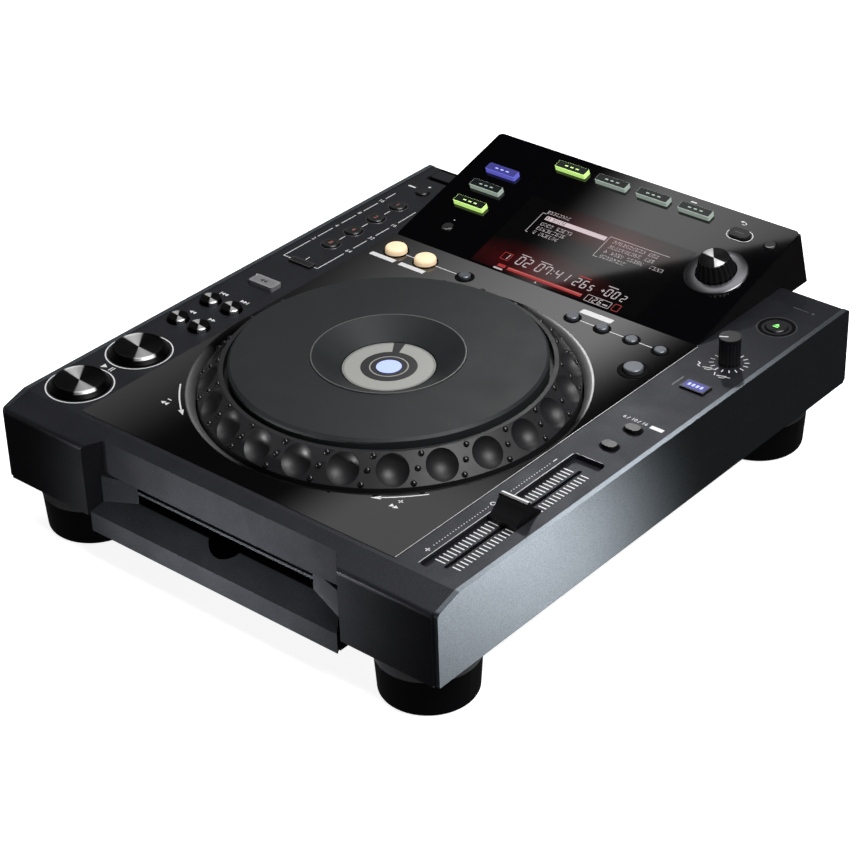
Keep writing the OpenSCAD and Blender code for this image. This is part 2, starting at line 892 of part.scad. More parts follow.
module display_holes(z0, z1) {
    gap = 2 * key_gap;
    for (v = source_v)
        on_display(source_u, v)
            round_plate(bar_w + gap, bar_d + gap, z1 - z0, 1, z0);
    for (u = top_key_u)
        on_display(u, top_key_v)
            round_plate(bar_w + gap, bar_d + gap, z1 - z0, 1, z0);
    on_display(back_u, back_v)
        round_plate(back_w + gap, back_d + gap, z1 - z0, back_d / 2 + key_gap - 0.05, z0);
    on_display(time_u, time_v)
        tube_hole(small_r + key_gap, z0, z1);
    on_display(tag_track_u, tag_track_v)
        tube_hole(small_r + key_gap, z0, z1);
    on_display(selector_u, selector_v)
        tube_hole(selector_shaft_r + key_gap, z0, z1);
}
module display_cover() {
    ring_in = selector_r + 0.6;
    color(gloss_black) {
        difference() {
            on_display(0, display_len / 2)
                round_plate(2 * display_x, display_len, cover_t, 3, -cover_t);
            display_holes(-2 * cover_t, cut);
            on_deck(-display_x - cut, display_y - 10, -10)
                cube([2 * (display_x + cut), 40, 10]);
        }
        on_display(selector_u, selector_v)
            rotate_extrude($fn = round_fn)
                polygon([
                    [ring_in, 0], [selector_ring_r, 0], [selector_ring_r, 0.5],
                    [selector_ring_r - 0.5, 1], [ring_in, 1.6]
                ]);
    }
}

// ---- Rear ----

module rear_panel() {
    color("#202226")
        difference() {
            union() {
                on_deck(-rear_panel_x, deck_d - rear_panel_t, -rear_panel_bottom_drop)
                    cube([2 * rear_panel_x, rear_panel_t, rear_panel_bottom_drop - rear_panel_top_drop]);
                socket_bodies();
            }
            socket_cuts();
        }
}

module socket_body(x, w, h, depth) {
    on_deck(x - w / 2, deck_d - rear_panel_t - depth, -socket_drop - h / 2)
        cube([w, depth + 0.2, h]);
}

module socket_cut(x, w, h, depth) {
    on_deck(x - w / 2, deck_d - depth, -socket_drop - h / 2)
        cube([w, depth + cut, h]);
}

inlet_x = inlet_side_gap - rear_panel_x;
switch_x = inlet_x + switch_pitch;
jack_xs = [for (gap = jack_side_gaps) rear_panel_x - gap];
network_x = jack_xs[0] - network_pitch;
computer_x = network_x - computer_pitch;
jack_r = 4.15;

module socket_bodies() {
    socket_body(switch_x, rocker_w + 5, rocker_h + 5, 16);
    socket_body(inlet_x, 28, 20, 18);
    socket_body(network_x, 16, 14, 16);
    socket_body(computer_x, 13, 13, 14);
    for (x = jack_xs)
        on_deck(x, deck_d - 0.1, -socket_drop)
            rotate([-90, 0, 0])
                cylinder(h = 8.1, r = jack_r, $fn = round_fn);
    for (x = jack_xs)
        socket_body(x, 12, 14, 10);
}

module socket_cuts() {
    socket_cut(inlet_x, 24, 16, 16);
    socket_cut(network_x, 11.6, 7.6, 13);
    socket_cut(computer_x, 8.4, 7.6, 11);
    for (x = jack_xs)
        on_deck(x, deck_d - 4, -socket_drop)
            rotate([-90, 0, 0])
                cylinder(h = 14, r = 1.7, $fn = round_fn);
    difference() {
        socket_cut(switch_x, rocker_w + 2 * key_gap, rocker_h + 2 * key_gap, 14);
        on_deck(switch_x - rocker_w, deck_d - rocker_depth, -socket_drop)
            rotate([0, 90, 0])
                cylinder(h = 2 * rocker_w, r = rocker_pin_r, $fn = round_fn);
    }
}

rocker_w = 9;
rocker_h = 15;
rocker_depth = 6.5;
rocker_pin_r = 1.2;
rocker_tilt = 9.3;

// Rocker that tilts about a pin along x, between off and on
module power_switch() {
    corner_x = rocker_h / 2 - 1;
    color(ink)
        on_deck(switch_x, deck_d - rocker_depth, -socket_drop)
            rotate([0, 90, 0])
                translate([0, 0, -rocker_w / 2])
                    linear_extrude(rocker_w)
                        rotate(-rocker_tilt)
                            difference() {
                                union() {
                                    circle(3, $fn = round_fn);
                                    polygon([
                                        [-3, 0], [3, 0], [corner_x, rocker_depth + 0.4],
                                        [0, rocker_depth + 0.8], [-corner_x, rocker_depth + 0.4]
                                    ]);
                                }
                                circle(rocker_pin_r + shaft_fit, $fn = round_fn);
                            }
}

// ---- Boards ----

module switch_block(x, y, drop) {
    on_deck(x - switch_w / 2, y - switch_w / 2, -board_drop)
        cube([switch_w, switch_w, board_drop - drop]);
}

module circuit_boards() {
    color("#1e5b38") {
        key_board_left();
        key_board_right();
        key_board_row();
        display_board();
        screen_panel();
        main_board();
        power_board();
    }
}

module key_board_left() {
    start_y = play_key_y - 20;
    on_deck(left_x - 5.8, start_y, -board_drop - board_t)
        cube([24, media_stop_y + 5.6 - start_y, board_t]);
    for (y = [play_key_y, cue_key_y])
        switch_block(play_x, y, switch_drop);
    for (y = [search_key_y, track_key_y], x = [-0.8, 1])
        switch_block(left_x + x * search_dx, y, switch_drop);
    for (i = [0:3])
        switch_block(left_x, loop_key_y + i * loop_pitch, switch_drop);
    switch_block(direction_x, direction_y, switch_drop);
    switch_block(beat_select_x, beat_select_y, switch_drop);
    switch_block(left_x, media_stop_y, switch_drop);
}

module key_board_right() {
    start_y = tempo_lock_y - 7.4;
    on_deck(well_r + 4, start_y, -board_drop - board_t)
        cube([23.5, eject_y + 13.2 - start_y, board_t]);
    switch_block(eject_x, eject_y, switch_drop);
    switch_block(knob_x, knob_y, 9.6);
    switch_block(jog_mode_x, jog_mode_y, switch_drop);
    switch_block(tempo_range_x, tempo_range_y, switch_drop);
    switch_block(tempo_lock_x, tempo_lock_y, switch_drop);
}

module key_board_row() {
    half_w = plate_x - 6;
    on_deck(-half_w, row_key_y - 2.8, -board_drop - board_t)
        cube([2 * half_w, 12, board_t]);
    on_deck(slip_x - 8, slip_y - 6, -board_drop - board_t)
        cube([15, row_key_y - slip_y + 10, board_t]);
    for (x = [loop_in_x, loop_out_x, reloop_x, call_x[0], call_x[1], delete_x, memory_x])
        on_deck(x - 2.5, row_key_y - 2.5, -board_drop)
            cube([5, 5, board_drop - switch_drop]);
    switch_block(slip_x, slip_y, switch_drop);
}

// Board under the display's keys, on the display's slope
module display_board() {
    top = -display_key_drop - 1;
    strip_d = 14;
    strip_w = 24;
    left = source_u - strip_w / 2;
    on_display(left, time_v - 6, top - board_t)
        cube([strip_w, top_key_v + 7 - time_v + 6, board_t]);
    on_display(left, top_key_v + 7 - strip_d - 4, top - board_t)
        cube([tag_track_u + 4 - left, strip_d + 4, board_t]);
    on_display(selector_u - 11, selector_v - 9, top - board_t)
        cube([22, top_key_v - selector_v, board_t]);
    for (v = source_v)
        display_switch(source_u, v);
    for (u = top_key_u)
        display_switch(u, top_key_v);
    display_switch(time_u, time_v);
    display_switch(back_u, back_v);
    display_switch(tag_track_u, tag_track_v);
}

module display_switch(u, v) {
    on_display(u - 2.5, v - 2.5, -display_key_drop - 1)
        cube([5, 5, 1]);
}

// Liquid crystal panel behind the cover
module screen_panel() {
    on_display(lcd_u, lcd_v, -cover_t - lcd_t)
        translate([-lcd_w / 2, -lcd_d / 2, 0])
            cube([lcd_w, lcd_d, lcd_t]);
}

board_edge_x = shell_x - 19.5;
board_drive_gap = 30;
board_rear_gap = 29.4;
board_y = drive_rear_y + board_drive_gap;
board_d = deck_d - board_rear_gap - board_y;
power_board_w = 60;

module main_board() {
    on_deck(-board_edge_x, board_y, -main_board_drop)
        cube([2 * board_edge_x - power_board_w - 10, board_d, board_t]);
}

module power_board() {
    on_deck(board_edge_x - power_board_w, board_y, -main_board_drop)
        cube([power_board_w, board_d, board_t]);
}

// ---- Jog wheel ----

hub_r = 15;
wheel_gap = 0.5;
ring_top_r = jog_r - ring_w;
ring_top_h = jog_top_h - 4.2;
groove_r = ring_top_r - 2.4;
top_plate_r = groove_r - 2.5;
seat_r = top_plate_r - 10.1;
seat_h = jog_top_h - 9.6;
jog_display_h = jog_top_h - dish_h;

module jog_post() {
    color(steel)
        on_deck(0, jog_y)
            rotate_extrude($fn = round_fn)
                polygon([
                    [0, well_wall - well_floor_drop],
                    [hub_r + 5, well_wall - well_floor_drop],
                    [hub_r + 5, well_wall - well_floor_drop + 1.5],
                    [post_r, well_wall - well_floor_drop + 1.5],
                    [post_r, jog_display_h - 4],
                    [0, jog_display_h - 4]
                ]);
}

module jog_display() {
    color("#b9bdc4")
        on_deck(0, jog_y)
            tube_hole(jog_display_r, jog_display_h - 4, jog_display_h);
}

module jog_wheel() {
    hub_bottom = well_wall - well_floor_drop + 1.5 + wheel_gap;
    face = atan((ring_top_h + 0.3) / (jog_r - ring_top_r));
    mid_r = (jog_r + ring_top_r) / 2;
    mid_h = (ring_top_h - 0.3) / 2;
    sink = sqrt(dimple_ball_r * dimple_ball_r - dimple_r * dimple_r);
    color(ink)
        on_deck(0, jog_y)
            difference() {
                rotate_extrude($fn = 128)
                    polygon([
                        [post_r + shaft_fit, hub_bottom], [hub_r, hub_bottom],
                        [hub_r, -6], [ring_top_r + 1, -6], [ring_top_r + 5, -9.5],
                        [jog_r - 1, -9.5], [jog_r, -8.5],
                        [jog_r, -0.3], [ring_top_r, ring_top_h], [groove_r, ring_top_h],
                        [groove_r, seat_h], [seat_r, seat_h], [seat_r, 0.5],
                        [hub_r, 0.5], [hub_r, 3], [post_r + shaft_fit, 3]
                    ]);
                for (i = [0:dimple_count - 1])
                    rotate([0, 0, dimple_turn + i * 360 / dimple_count])
                        translate([mid_r + sink * sin(face), 0, mid_h + sink * cos(face)])
                            sphere(dimple_ball_r, $fn = round_fn);
            }
}

module jog_top_plate() {
    rim = 1.4;
    seat = seat_h + top_plate_travel + 0.3;
    dish_hole_r = jog_display_r + 0.5;
    color("#2d3434")
        on_deck(0, jog_y)
            rotate_extrude($fn = 128)
                polygon([
                    [dish_hole_r, jog_display_h - 1.8], [dish_hole_r, jog_display_h + 0.2],
                    [dish_r, jog_top_h + 0.6], [dish_r + 0.8, jog_top_h + 0.6], [dish_r + 1.2, jog_top_h],
                    [top_plate_r - rim, jog_top_h], [top_plate_r, jog_top_h - rim],
                    [top_plate_r, seat], [top_plate_r - 8, seat], [top_plate_r - 8, jog_top_h - 3],
                    [dish_r + 2, jog_top_h - 3]
                ]);
}

// ---- Keys on the deck ----

// Large key: a low cone with a slightly dished face, on a neck through its seat
module large_key(y) {
    rim_drop = 0.8;
    below = large_seat_h + large_seat_t + flange_play;
    foot = key_travel + flange_play - switch_drop;
    on_deck(play_x, y)
        rotate_extrude($fn = round_fn)
            polygon([
                [0, play_h - 0.9], [play_r - 4.2, play_h - 0.2], [play_r - 3.2, play_h],
                [play_r - 2.4, play_h - 0.3], [play_r, 0.6], [play_r, -rim_drop],
                [large_neck_r, -rim_drop], [large_neck_r, -below],
                [large_neck_r + key_flange, -below], [large_neck_r + key_flange, -below - flange_t],
                [3, -below - flange_t], [3, foot], [0, foot]
            ]);
}

module play_key() {
    color(silver)
        large_key(play_key_y);
}

module cue_key() {
    color(silver)
        large_key(cue_key_y);
}

module search_key(side, y) {
    color(silver)
        on_deck(left_x + side * search_dx, y)
            round_key(search_r, 2.6, deck_skin);
}

module search_back_key() {
    search_key(-1, search_key_y);
}

module search_forward_key() {
    search_key(1, search_key_y);
}

module track_back_key() {
    search_key(-1, track_key_y);
}

module track_forward_key() {
    search_key(1, track_key_y);
}

module direction_key() {
    color(silver)
        on_deck(direction_x, direction_y)
            bar_key(direction_w, direction_d, 2.4, deck_skin, r = 1.6);
}

module beat_select_key() {
    color(ink)
        on_deck(beat_select_x, beat_select_y)
            bar_key(beat_select_w, beat_select_d, 1.2, deck_skin);
}

module loop_key(i) {
    color(ink)
        on_deck(left_x, loop_key_y + i * loop_pitch)
            round_key(loop_r, 1.4, deck_skin);
}

module loop_key_1() {
    loop_key(0);
}

module loop_key_2() {
    loop_key(1);
}

module loop_key_3() {
    loop_key(2);
}

module loop_key_4() {
    loop_key(3);
}

module media_stop_key() {
    color(ink)
        on_deck(left_x, media_stop_y)
            round_key(media_stop_r, 1.4, deck_skin);
}

// Flap over the socket for a memory stick, hinged along its rear edge
module port_flap() {
    w = port_w - 2 * flap_gap;
    pin_len = port_w + 2.4;
    color(shell_grey) {
        on_deck(port_x - w / 2, flap_axis_y + 0.5 - flap_d + 2 * flap_gap, -flap_t)
            cube([w, flap_d - 2 * flap_gap, flap_t]);
        on_deck(port_x - w / 2, flap_axis_y, -flap_axis_drop)
            rotate([0, 90, 0])
                cylinder(h = w, r = flap_knuckle_r, $fn = round_fn);
        on_deck(port_x - pin_len / 2, flap_axis_y, -flap_axis_drop)
            rotate([0, 90, 0])
                cylinder(h = pin_len, r = flap_pin_r, $fn = round_fn);
    }
}

// Lit dome key of the loop row
module dome_key(x) {
    dome_h = 4.2;
    below = deck_skin + flange_play;
    color("#ffdfae")
        on_deck(x, row_key_y)
            rotate_extrude($fn = round_fn)
                polygon(concat(
                    [[0, key_travel + flange_play - switch_drop]],
                    [
                        [key_stem_r, key_travel + flange_play - switch_drop],
                        [key_stem_r, -below - flange_t],
                        [loop_dome_r + key_flange, -below - flange_t],
                        [loop_dome_r + key_flange, -below], [loop_dome_r, -below]
                    ],
                    arc([loop_dome_r - 2, dome_h - 2], 2, 0, 80),
                    [[0, dome_h + 0.3]]
                ));
}

module loop_in_key() {
    dome_key(loop_in_x);
}

module loop_out_key() {
    dome_key(loop_out_x);
}

module small_key(x, y, r = small_r, h = 2.2) {
    color(steel)
        on_deck(x, y)
            round_key(r, h, deck_skin);
}

module reloop_key() {
    small_key(reloop_x, row_key_y);
}

module call_back_key() {
    small_key(call_x[0], row_key_y);
}

module call_forward_key() {
    small_key(call_x[1], row_key_y);
}

module delete_key() {
    small_key(delete_x, row_key_y, h = 1.6);
}

module memory_key() {
    small_key(memory_x, row_key_y, h = 1.6);
}

module slip_key() {
    small_key(slip_x, slip_y, slip_r, 3);
}

module eject_key() {
    color(ink)
        on_deck(eject_x, eject_y)
            round_key(eject_r, 1, deck_skin);
}

module jog_mode_key() {
    color("#2b2f6e")
        on_deck(jog_mode_x, jog_mode_y)
            bar_key(jog_mode_w, jog_mode_d, 1.2, deck_skin);
}

module oval_key(x, y) {
    color(ink)
        on_deck(x, y)
            bar_key(oval_w, oval_d, 2, deck_skin, r = oval_d / 2 - 0.05);
}

module tempo_range_key() {
    oval_key(tempo_range_x, tempo_range_y);
}

module tempo_lock_key() {
    oval_key(tempo_lock_x, tempo_lock_y);
}

// Knob with flutes round its grip and a shaft through the deck
module fluted_knob(r, h, lift, flutes) {
    difference() {
        tube_hole(r, lift, h);
        for (i = [0:flutes - 1])
            rotate([0, 0, i * 360 / flutes])
                translate([r + 0.35, 0, lift - cut])
                    cylinder(h = h - lift - 1, r = 0.8, $fn = 16);
    }
}

module speed_knob() {
    color(ink)
        on_deck(knob_x, knob_y) {
            fluted_knob(knob_r, knob_h, 0.5, 18);
            tube_hole(knob_shaft_r, -9, 1);
        }
}

// Slider cap with scooped faces, on a blade that passes through the slot
module tempo_slider() {
    top = cap_h;
    foot = cap_lift - trough_h;
    color(ink)
        on_deck(slider_x, slider_mid_y) {
            translate([-cap_w / 2, 0, 0])
                rotate([90, 0, 90])
                    linear_extrude(cap_w)
                        polygon(concat(
                            [[-cap_d / 2, foot], [cap_d / 2, foot], [cap_d / 2, foot + 2.5]],
                            scoop(1, foot + 2.5, top),
                            [[cap_ridge / 2, top], [-cap_ridge / 2, top]],
                            [for (i = [8:-1:0]) scoop(-1, foot + 2.5, top)[i]],
                            [[-cap_d / 2, foot + 2.5]]
                        ));
            translate([-slider_stem_w / 2, -slider_stem_d / 2, -deck_skin - 9])
                cube([slider_stem_w, slider_stem_d, deck_skin + 9 + foot + 1]);
        }
}

// One scooped face of the cap, from its foot to its ridge
function scoop(side, z0, z1) = [
    for (i = [0:8]) let (
        t = i / 8,
        y = cap_ridge / 2 + (cap_d / 2 - cap_ridge / 2) * pow(1 - t, 2.2)
    ) [side * y, z0 + (z1 - z0) * pow(t, 0.8) * 0.98]
];

// ---- Keys on the display ----

module display_bar_key(u, v) {
    color("#9fb3a6")
        on_display(u, v)
            bar_key(bar_w, bar_d, bar_h, cover_t + housing_wall, display_key_drop);
}

module network_source_key() {
    display_bar_key(source_u, source_v[0]);
}

module media_source_key() {
    display_bar_key(source_u, source_v[1]);
}

module disc_source_key() {
    display_bar_key(source_u, source_v[2]);
}

module browse_key() {
    display_bar_key(top_key_u[0], top_key_v);
}

module tag_list_key() {
    display_bar_key(top_key_u[1], top_key_v);
}

module info_key() {
    display_bar_key(top_key_u[2], top_key_v);
}

module menu_key() {
    display_bar_key(top_key_u[3], top_key_v);
}

module display_small_key(u, v) {
    color(ink)
        on_display(u, v)
            round_key(small_r, 0.8, cover_t + housing_wall, display_key_drop);
}

module time_mode_key() {
    display_small_key(time_u, time_v);
}

module tag_track_key() {
    display_small_key(tag_track_u, tag_track_v);
}

module back_key() {
    color(ink)
        on_display(back_u, back_v)
            bar_key(back_w, back_d, 2, cover_t + housing_wall, display_key_drop, r = back_d / 2 - 0.05);
}

// Shaft of the selector, which moves down when the knob is pressed
module selector_shaft() {
    grip_z = selector_lift + 2;
    color(steel)
        on_display(selector_u, selector_v) {
            tube_hole(selector_shaft_r, -display_key_drop + 0.5, grip_z);
            tube_hole(selector_core_r, grip_z - 0.01, selector_h - 2.4);
        }
}
selector_core_r = 2.4;

// Tapered knob with scalloped sides that turns on the shaft
module rotary_selector() {
    flutes = 20;
    flute_r = 1.3;
    lean = atan((selector_r - selector_top_r) / (selector_h - selector_lift));
    color(silver)
        on_display(selector_u, selector_v)
            difference() {
                rotate_extrude($fn = round_fn)
                    polygon([
                        [selector_core_r + shaft_fit, selector_lift + 2.3], [selector_shaft_r + 0.4, selector_lift + 2.3],
                        [selector_shaft_r + 0.4, selector_lift], [selector_r, selector_lift],
                        [selector_top_r, selector_h - 0.3], [selector_top_r - 0.4, selector_h],
                        [0, selector_h], [0, selector_h - 2.1], [selector_core_r + shaft_fit, selector_h - 2.1]
                    ]);
                for (i = [0:flutes - 1])
                    rotate([0, 0, (i + 0.5) * 360 / flutes])
                        translate([selector_r + flute_r - 0.7, 0, selector_lift])
                            rotate([0, -lean, 0])
                                translate([0, 0, -cut])
                                    cylinder(h = selector_h + 2 * cut, r = flute_r, $fn = 24);
            }
}

// ---- Disc drive ----

module drive_frame() {
    base_z = drive_floor_z;
    wall_h = deck_z - frame_top_drop - base_z;
    len = drive_rear_y - drive_front_y;
    color(steel) {
        difference() {
            translate([-drive_x, front_y + drive_front_y, base_z])
                cube([2 * drive_x, len, wall_h]);
            translate([-drive_x + frame_t, front_y + drive_front_y - cut, base_z + frame_t])
                cube([2 * (drive_x - frame_t), len + cut - frame_t, wall_h]);
            translate([-drive_x - cut, front_y + roller_y, roller_z])
                rotate([0, 90, 0])
                    cylinder(h = 2 * (drive_x + cut), r = roller_shaft_r + shaft_fit, $fn = round_fn);
        }
        for (side = [-1, 1], y = [drive_front_y + 12, drive_rear_y - 12])
            translate([side * (drive_x - 12), front_y + y, base_z - 3])
                cylinder(h = 3, r = 4, $fn = round_fn);
        spindle_motor();
        for (side = [-1, 1])
            sled_rail(side);
        for (side = [-1, 1], y = [sled_start_y - 13, drive_rear_y - 6])
            translate([side * rail_x - 3, front_y + y - 1.5, base_z + frame_t])
                difference() {
                    cube([6, 3, rail_z - base_z - frame_t + 3]);
                    translate([3, -cut, rail_z - base_z - frame_t])
                        rotate([-90, 0, 0])
                            cylinder(h = 3 + 2 * cut, r = rail_r, $fn = round_fn);
                }
    }
}

disc_z = deck_z - disc_drop;
rail_z = drive_floor_z + 8;
roller_z = disc_z - roller_r - 0.8;

module spindle_motor() {
    motor_top = disc_z - 7;
    translate([0, front_y + disc_y, drive_floor_z + frame_t])
        difference() {
            cylinder(h = motor_top - drive_floor_z - frame_t, r = 11, $fn = round_fn);
            translate([0, 0, 1])
                cylinder(h = 30, r = spindle_r + shaft_fit, $fn = round_fn);
        }
}

module sled_rail(side) {
    y0 = sled_start_y - 14.5;
    y1 = drive_rear_y - 4.5;
    translate([side * rail_x, front_y + y0, rail_z])
        rotate([-90, 0, 0])
            cylinder(h = y1 - y0, r = rail_r, $fn = round_fn);
}

module feed_roller() {
    color("#3a3a3e")
        translate([0, front_y + roller_y, roller_z])
            rotate([0, 90, 0]) {
                translate([0, 0, -roller_len / 2])
                    cylinder(h = roller_len, r = roller_r, $fn = round_fn);
                translate([0, 0, -drive_x - 2])
                    cylinder(h = 2 * drive_x + 4, r = roller_shaft_r, $fn = round_fn);
            }
}

module disc_turntable() {
    color(silver)
        translate([0, front_y + disc_y, disc_z])
            rotate_extrude($fn = round_fn)
                polygon([
                    [0, -spindle_h], [spindle_r, -spindle_h], [spindle_r, -4.5], [turntable_r, -4.5],
                    [turntable_r, -1], [7.3, -1], [7.3, 0.6], [5, 2], [0, 2]
                ]);
}

module laser_sled() {
    sled_d = 20;
    sled_w = 2 * (rail_x + sled_margin);
    lens_r = 4;
    color("#44474f")
        translate([0, front_y + sled_start_y, rail_z]) {
            difference() {
                translate([-sled_w / 2, -sled_d / 2, -4])
                    cube([sled_w, sled_d, 8]);
                for (side = [-1, 1])
                    translate([side * rail_x, -sled_d / 2 - cut, 0])
                        rotate([-90, 0, 0])
                            cylinder(h = sled_d + 2 * cut, r = rail_r + shaft_fit, $fn = round_fn);
            }
            translate([0, 0, 4])
                cylinder(h = 3, r = lens_r, $fn = round_fn);
        }
}

deck_shell();
side_panels();
centre_plate();
slot_fascia();
base_pan();
rubber_feet();
display_housing();
display_cover();
rear_panel();
base_screws();
circuit_boards();
jog_post();
jog_display();
jog_wheel();
jog_top_plate();
play_key();
cue_key();
search_back_key();
search_forward_key();
track_back_key();
track_forward_key();
direction_key();
beat_select_key();
loop_key_1();
loop_key_2();
loop_key_3();
loop_key_4();
media_stop_key();
port_flap();
loop_in_key();
loop_out_key();
reloop_key();
call_back_key();
call_forward_key();
delete_key();
memory_key();
slip_key();
eject_key();
speed_knob();
jog_mode_key();
tempo_range_key();
tempo_lock_key();
tempo_slider();
network_source_key();
media_source_key();
disc_source_key();
browse_key();
tag_list_key();
info_key();
menu_key();
time_mode_key();
back_key();
tag_track_key();
selector_shaft();
rotary_selector();
power_switch();
drive_frame();
feed_roller();
disc_turntable();
laser_sled();
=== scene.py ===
"""Finishes, prints, lit keys and a studio for the tabletop disc player."""

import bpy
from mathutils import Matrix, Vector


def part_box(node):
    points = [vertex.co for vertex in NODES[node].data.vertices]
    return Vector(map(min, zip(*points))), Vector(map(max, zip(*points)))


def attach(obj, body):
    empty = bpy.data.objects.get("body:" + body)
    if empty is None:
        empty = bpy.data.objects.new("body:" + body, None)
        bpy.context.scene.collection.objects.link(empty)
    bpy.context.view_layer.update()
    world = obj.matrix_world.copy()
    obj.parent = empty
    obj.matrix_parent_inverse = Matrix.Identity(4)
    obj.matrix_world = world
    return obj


bl_info = {
    "name": "Disc Player Finish",
    "version": (1, 0, 0),
    "blender": (4, 5, 0),
    "location": "3D View > Sidebar > Disc Player",
    "description": "Dresses the packed disc player with finishes, prints and a studio",
    "category": "Object",
}

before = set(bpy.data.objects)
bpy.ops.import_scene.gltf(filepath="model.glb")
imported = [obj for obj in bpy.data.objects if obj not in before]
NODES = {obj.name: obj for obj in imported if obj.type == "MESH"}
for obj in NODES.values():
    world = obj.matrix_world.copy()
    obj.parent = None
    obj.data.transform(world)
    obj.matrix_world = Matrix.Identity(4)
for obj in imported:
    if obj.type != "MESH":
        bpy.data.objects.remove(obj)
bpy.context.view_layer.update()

import random
from math import cos, hypot, pi, radians, sin, tau

import bmesh
import bpy
from bpy.props import FloatProperty, FloatVectorProperty, IntProperty, PointerProperty
from bpy.types import Operator, Panel, PropertyGroup
from mathutils import Matrix, Vector

MM = 0.001
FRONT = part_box("deck_shell")[0][1]
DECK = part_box("deck_shell")[1][2]
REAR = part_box("deck_shell")[1][1]
PLATE = (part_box("centre_plate")[1][2] - DECK) / MM

# The display's tilt, and the line on the deck where its face starts.
TILT = radians(15.8)
DISPLAY_Y = 274.2

# Middles of controls on the deck, in mm as deck() takes them.
JOG = (0.0, 143.1)
PLAY = (-130.7, 38.6)
CUE = (-130.7, 83.1)
SEARCH_Y = 122
TRACK_Y = 148
SMALL_PAIR_X = (-139.2, -122.8)
LOOP_KEYS = [(-131, 241 + 20.3 * k) for k in range(4)]
SPEED = (132.6, 270.2)
EJECT = (131.6, 317.8)
JOG_MODE = (133.3, 237.6)

# Middles on the display and on the rear panel, in mm as display() and rear() take them.
SELECTOR = (84.6, 54.5)
SOURCE_X = -83.3
MENU_V = 92.8
SOCKET_Z = -29
MAINS_X, SWITCH_X, COMPUTER_X, NETWORK_X, AUDIO_X = -112, -82, 30, 60, (100, 116)

# Heights of tops over the deck or over the display's face, in mm.
TOP = {
    "lit_key": 2.6, "back_key": 2.0, "small_key": 0.8, "loop_key": 1.4, "eject_key": 1.0,
    "direction_key": 2.4, "flat_key": 1.2, "tempo_slider": 9.5, "speed_knob": 16.5, "jog_display": 9.6,
}

# Radius of the white rings round the two large keys, in mm.
KEY_RING = 18.6

# Radii of the jog wheel's well and plate, and the skirt's edges as (radius, height), in mm.
WELL = 109.8
PLATE_SIDE = 86.04
SKIRT_LOW = (103.4, -0.3)
SKIRT_HIGH = (91.0, 13.4)

# Turn of the skirt's rows of dimples, and how far a row of studs leans, in degrees.
DIMPLE_TURN = -3.0
STUD_LEAN = 4.2

# How far a print stands off its surface, in mm, and half the floor's side, in m.
SKIN = 0.04
FLOOR_HALF = 60.0

# The camera's place and axes; the reflector cards are laid out for that place.
EYE = Vector((0.773369, -0.902263, 0.770126))
CAMERA_RIGHT = Vector((0.762794, 0.646010, -0.028575))
CAMERA_UP = Vector((-0.324326, 0.420438, 0.847375))

# Level directions of the painted sheen on turned keys and on the well's lip, in degrees from x.
KEY_PAINTED_SHEEN = -30
LIP_PAINTED_SHEEN = 52


# ---- Places ----

def deck(x, y, z=0.0):
    """A place on the deck: x from the centre line, y from the front edge, z over the deck, in mm."""
    return Vector((x * MM, FRONT + y * MM, DECK + z * MM))


def display(u, v, n=0.0):
    """A place on the display's face, u across, v up its slope and n along its normal, in mm."""
    y = DISPLAY_Y + v * cos(TILT) - n * sin(TILT)
    return deck(u, y, v * sin(TILT) + n * cos(TILT))


def rear(x, z, out=0.0):
    """A place on the rear panel: x from the centre line, z over the deck, out of its face, in mm."""
    return Vector((x * MM, REAR + out * MM, DECK + z * MM))


def ground(x, y, z):
    """A place in the frame's own axes, in mm."""
    return Vector((x * MM, y * MM, z * MM))


def around(place, centre, lift=0.0):
    """Places round a centre, for shapes that are given about their own middle."""
    return lambda x, y, h: place(centre[0] + x, centre[1] + y, lift + h)


def polar(centre, r, a):
    """A point at a radius and an angle round a centre."""
    return centre[0] + r * cos(a), centre[1] + r * sin(a)


def heading(degrees):
    """A level direction, turned from x."""
    return Vector((*polar((0, 0), 1, radians(degrees)), 0))


DISPLAY_UP = (display(0, 1) - display(0, 0)).normalized()
DISPLAY_OUT = (display(0, 0, 1) - display(0, 0)).normalized()


# ---- Objects and meshes ----

def add_object(name, data):
    obj = bpy.data.objects.new(name, data)
    bpy.context.scene.collection.objects.link(obj)
    return obj


def hide(obj, rays):
    """Keeps an object of the stage out of some kinds of ray."""
    for ray in rays.split():
        setattr(obj, "visible_" + ray, False)


def piece(name, verts, faces, finishes, body, slots=None, smooth=False):
    """A mesh piece in the row frame that rides on a body."""
    mesh = bpy.data.meshes.new(name)
    mesh.from_pydata(verts, [], faces)
    for finish in finishes:
        mesh.materials.append(FINISHES[finish])
    mesh.polygons.foreach_set("use_smooth", [smooth] * len(faces))
    if slots:
        mesh.polygons.foreach_set("material_index", slots)
    mesh.update()
    obj = add_object(name, mesh)
    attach(obj, body)


SEGMENTS = {
    "0": "abcdef", "1": "bc", "2": "abged", "3": "abgcd", "4": "fgbc",
    "5": "afgcd", "6": "afgecd", "7": "abcf", "8": "abcdefg", "9": "abcdfg",
}
STROKES = {
    "a": ((0, 2), (1, 2)), "b": ((1, 2), (1, 1)), "c": ((1, 1), (1, 0)), "d": ((0, 0), (1, 0)),
    "e": ((0, 0), (0, 1)), "f": ((0, 1), (0, 2)), "g": ((0, 1), (1, 1)),
}


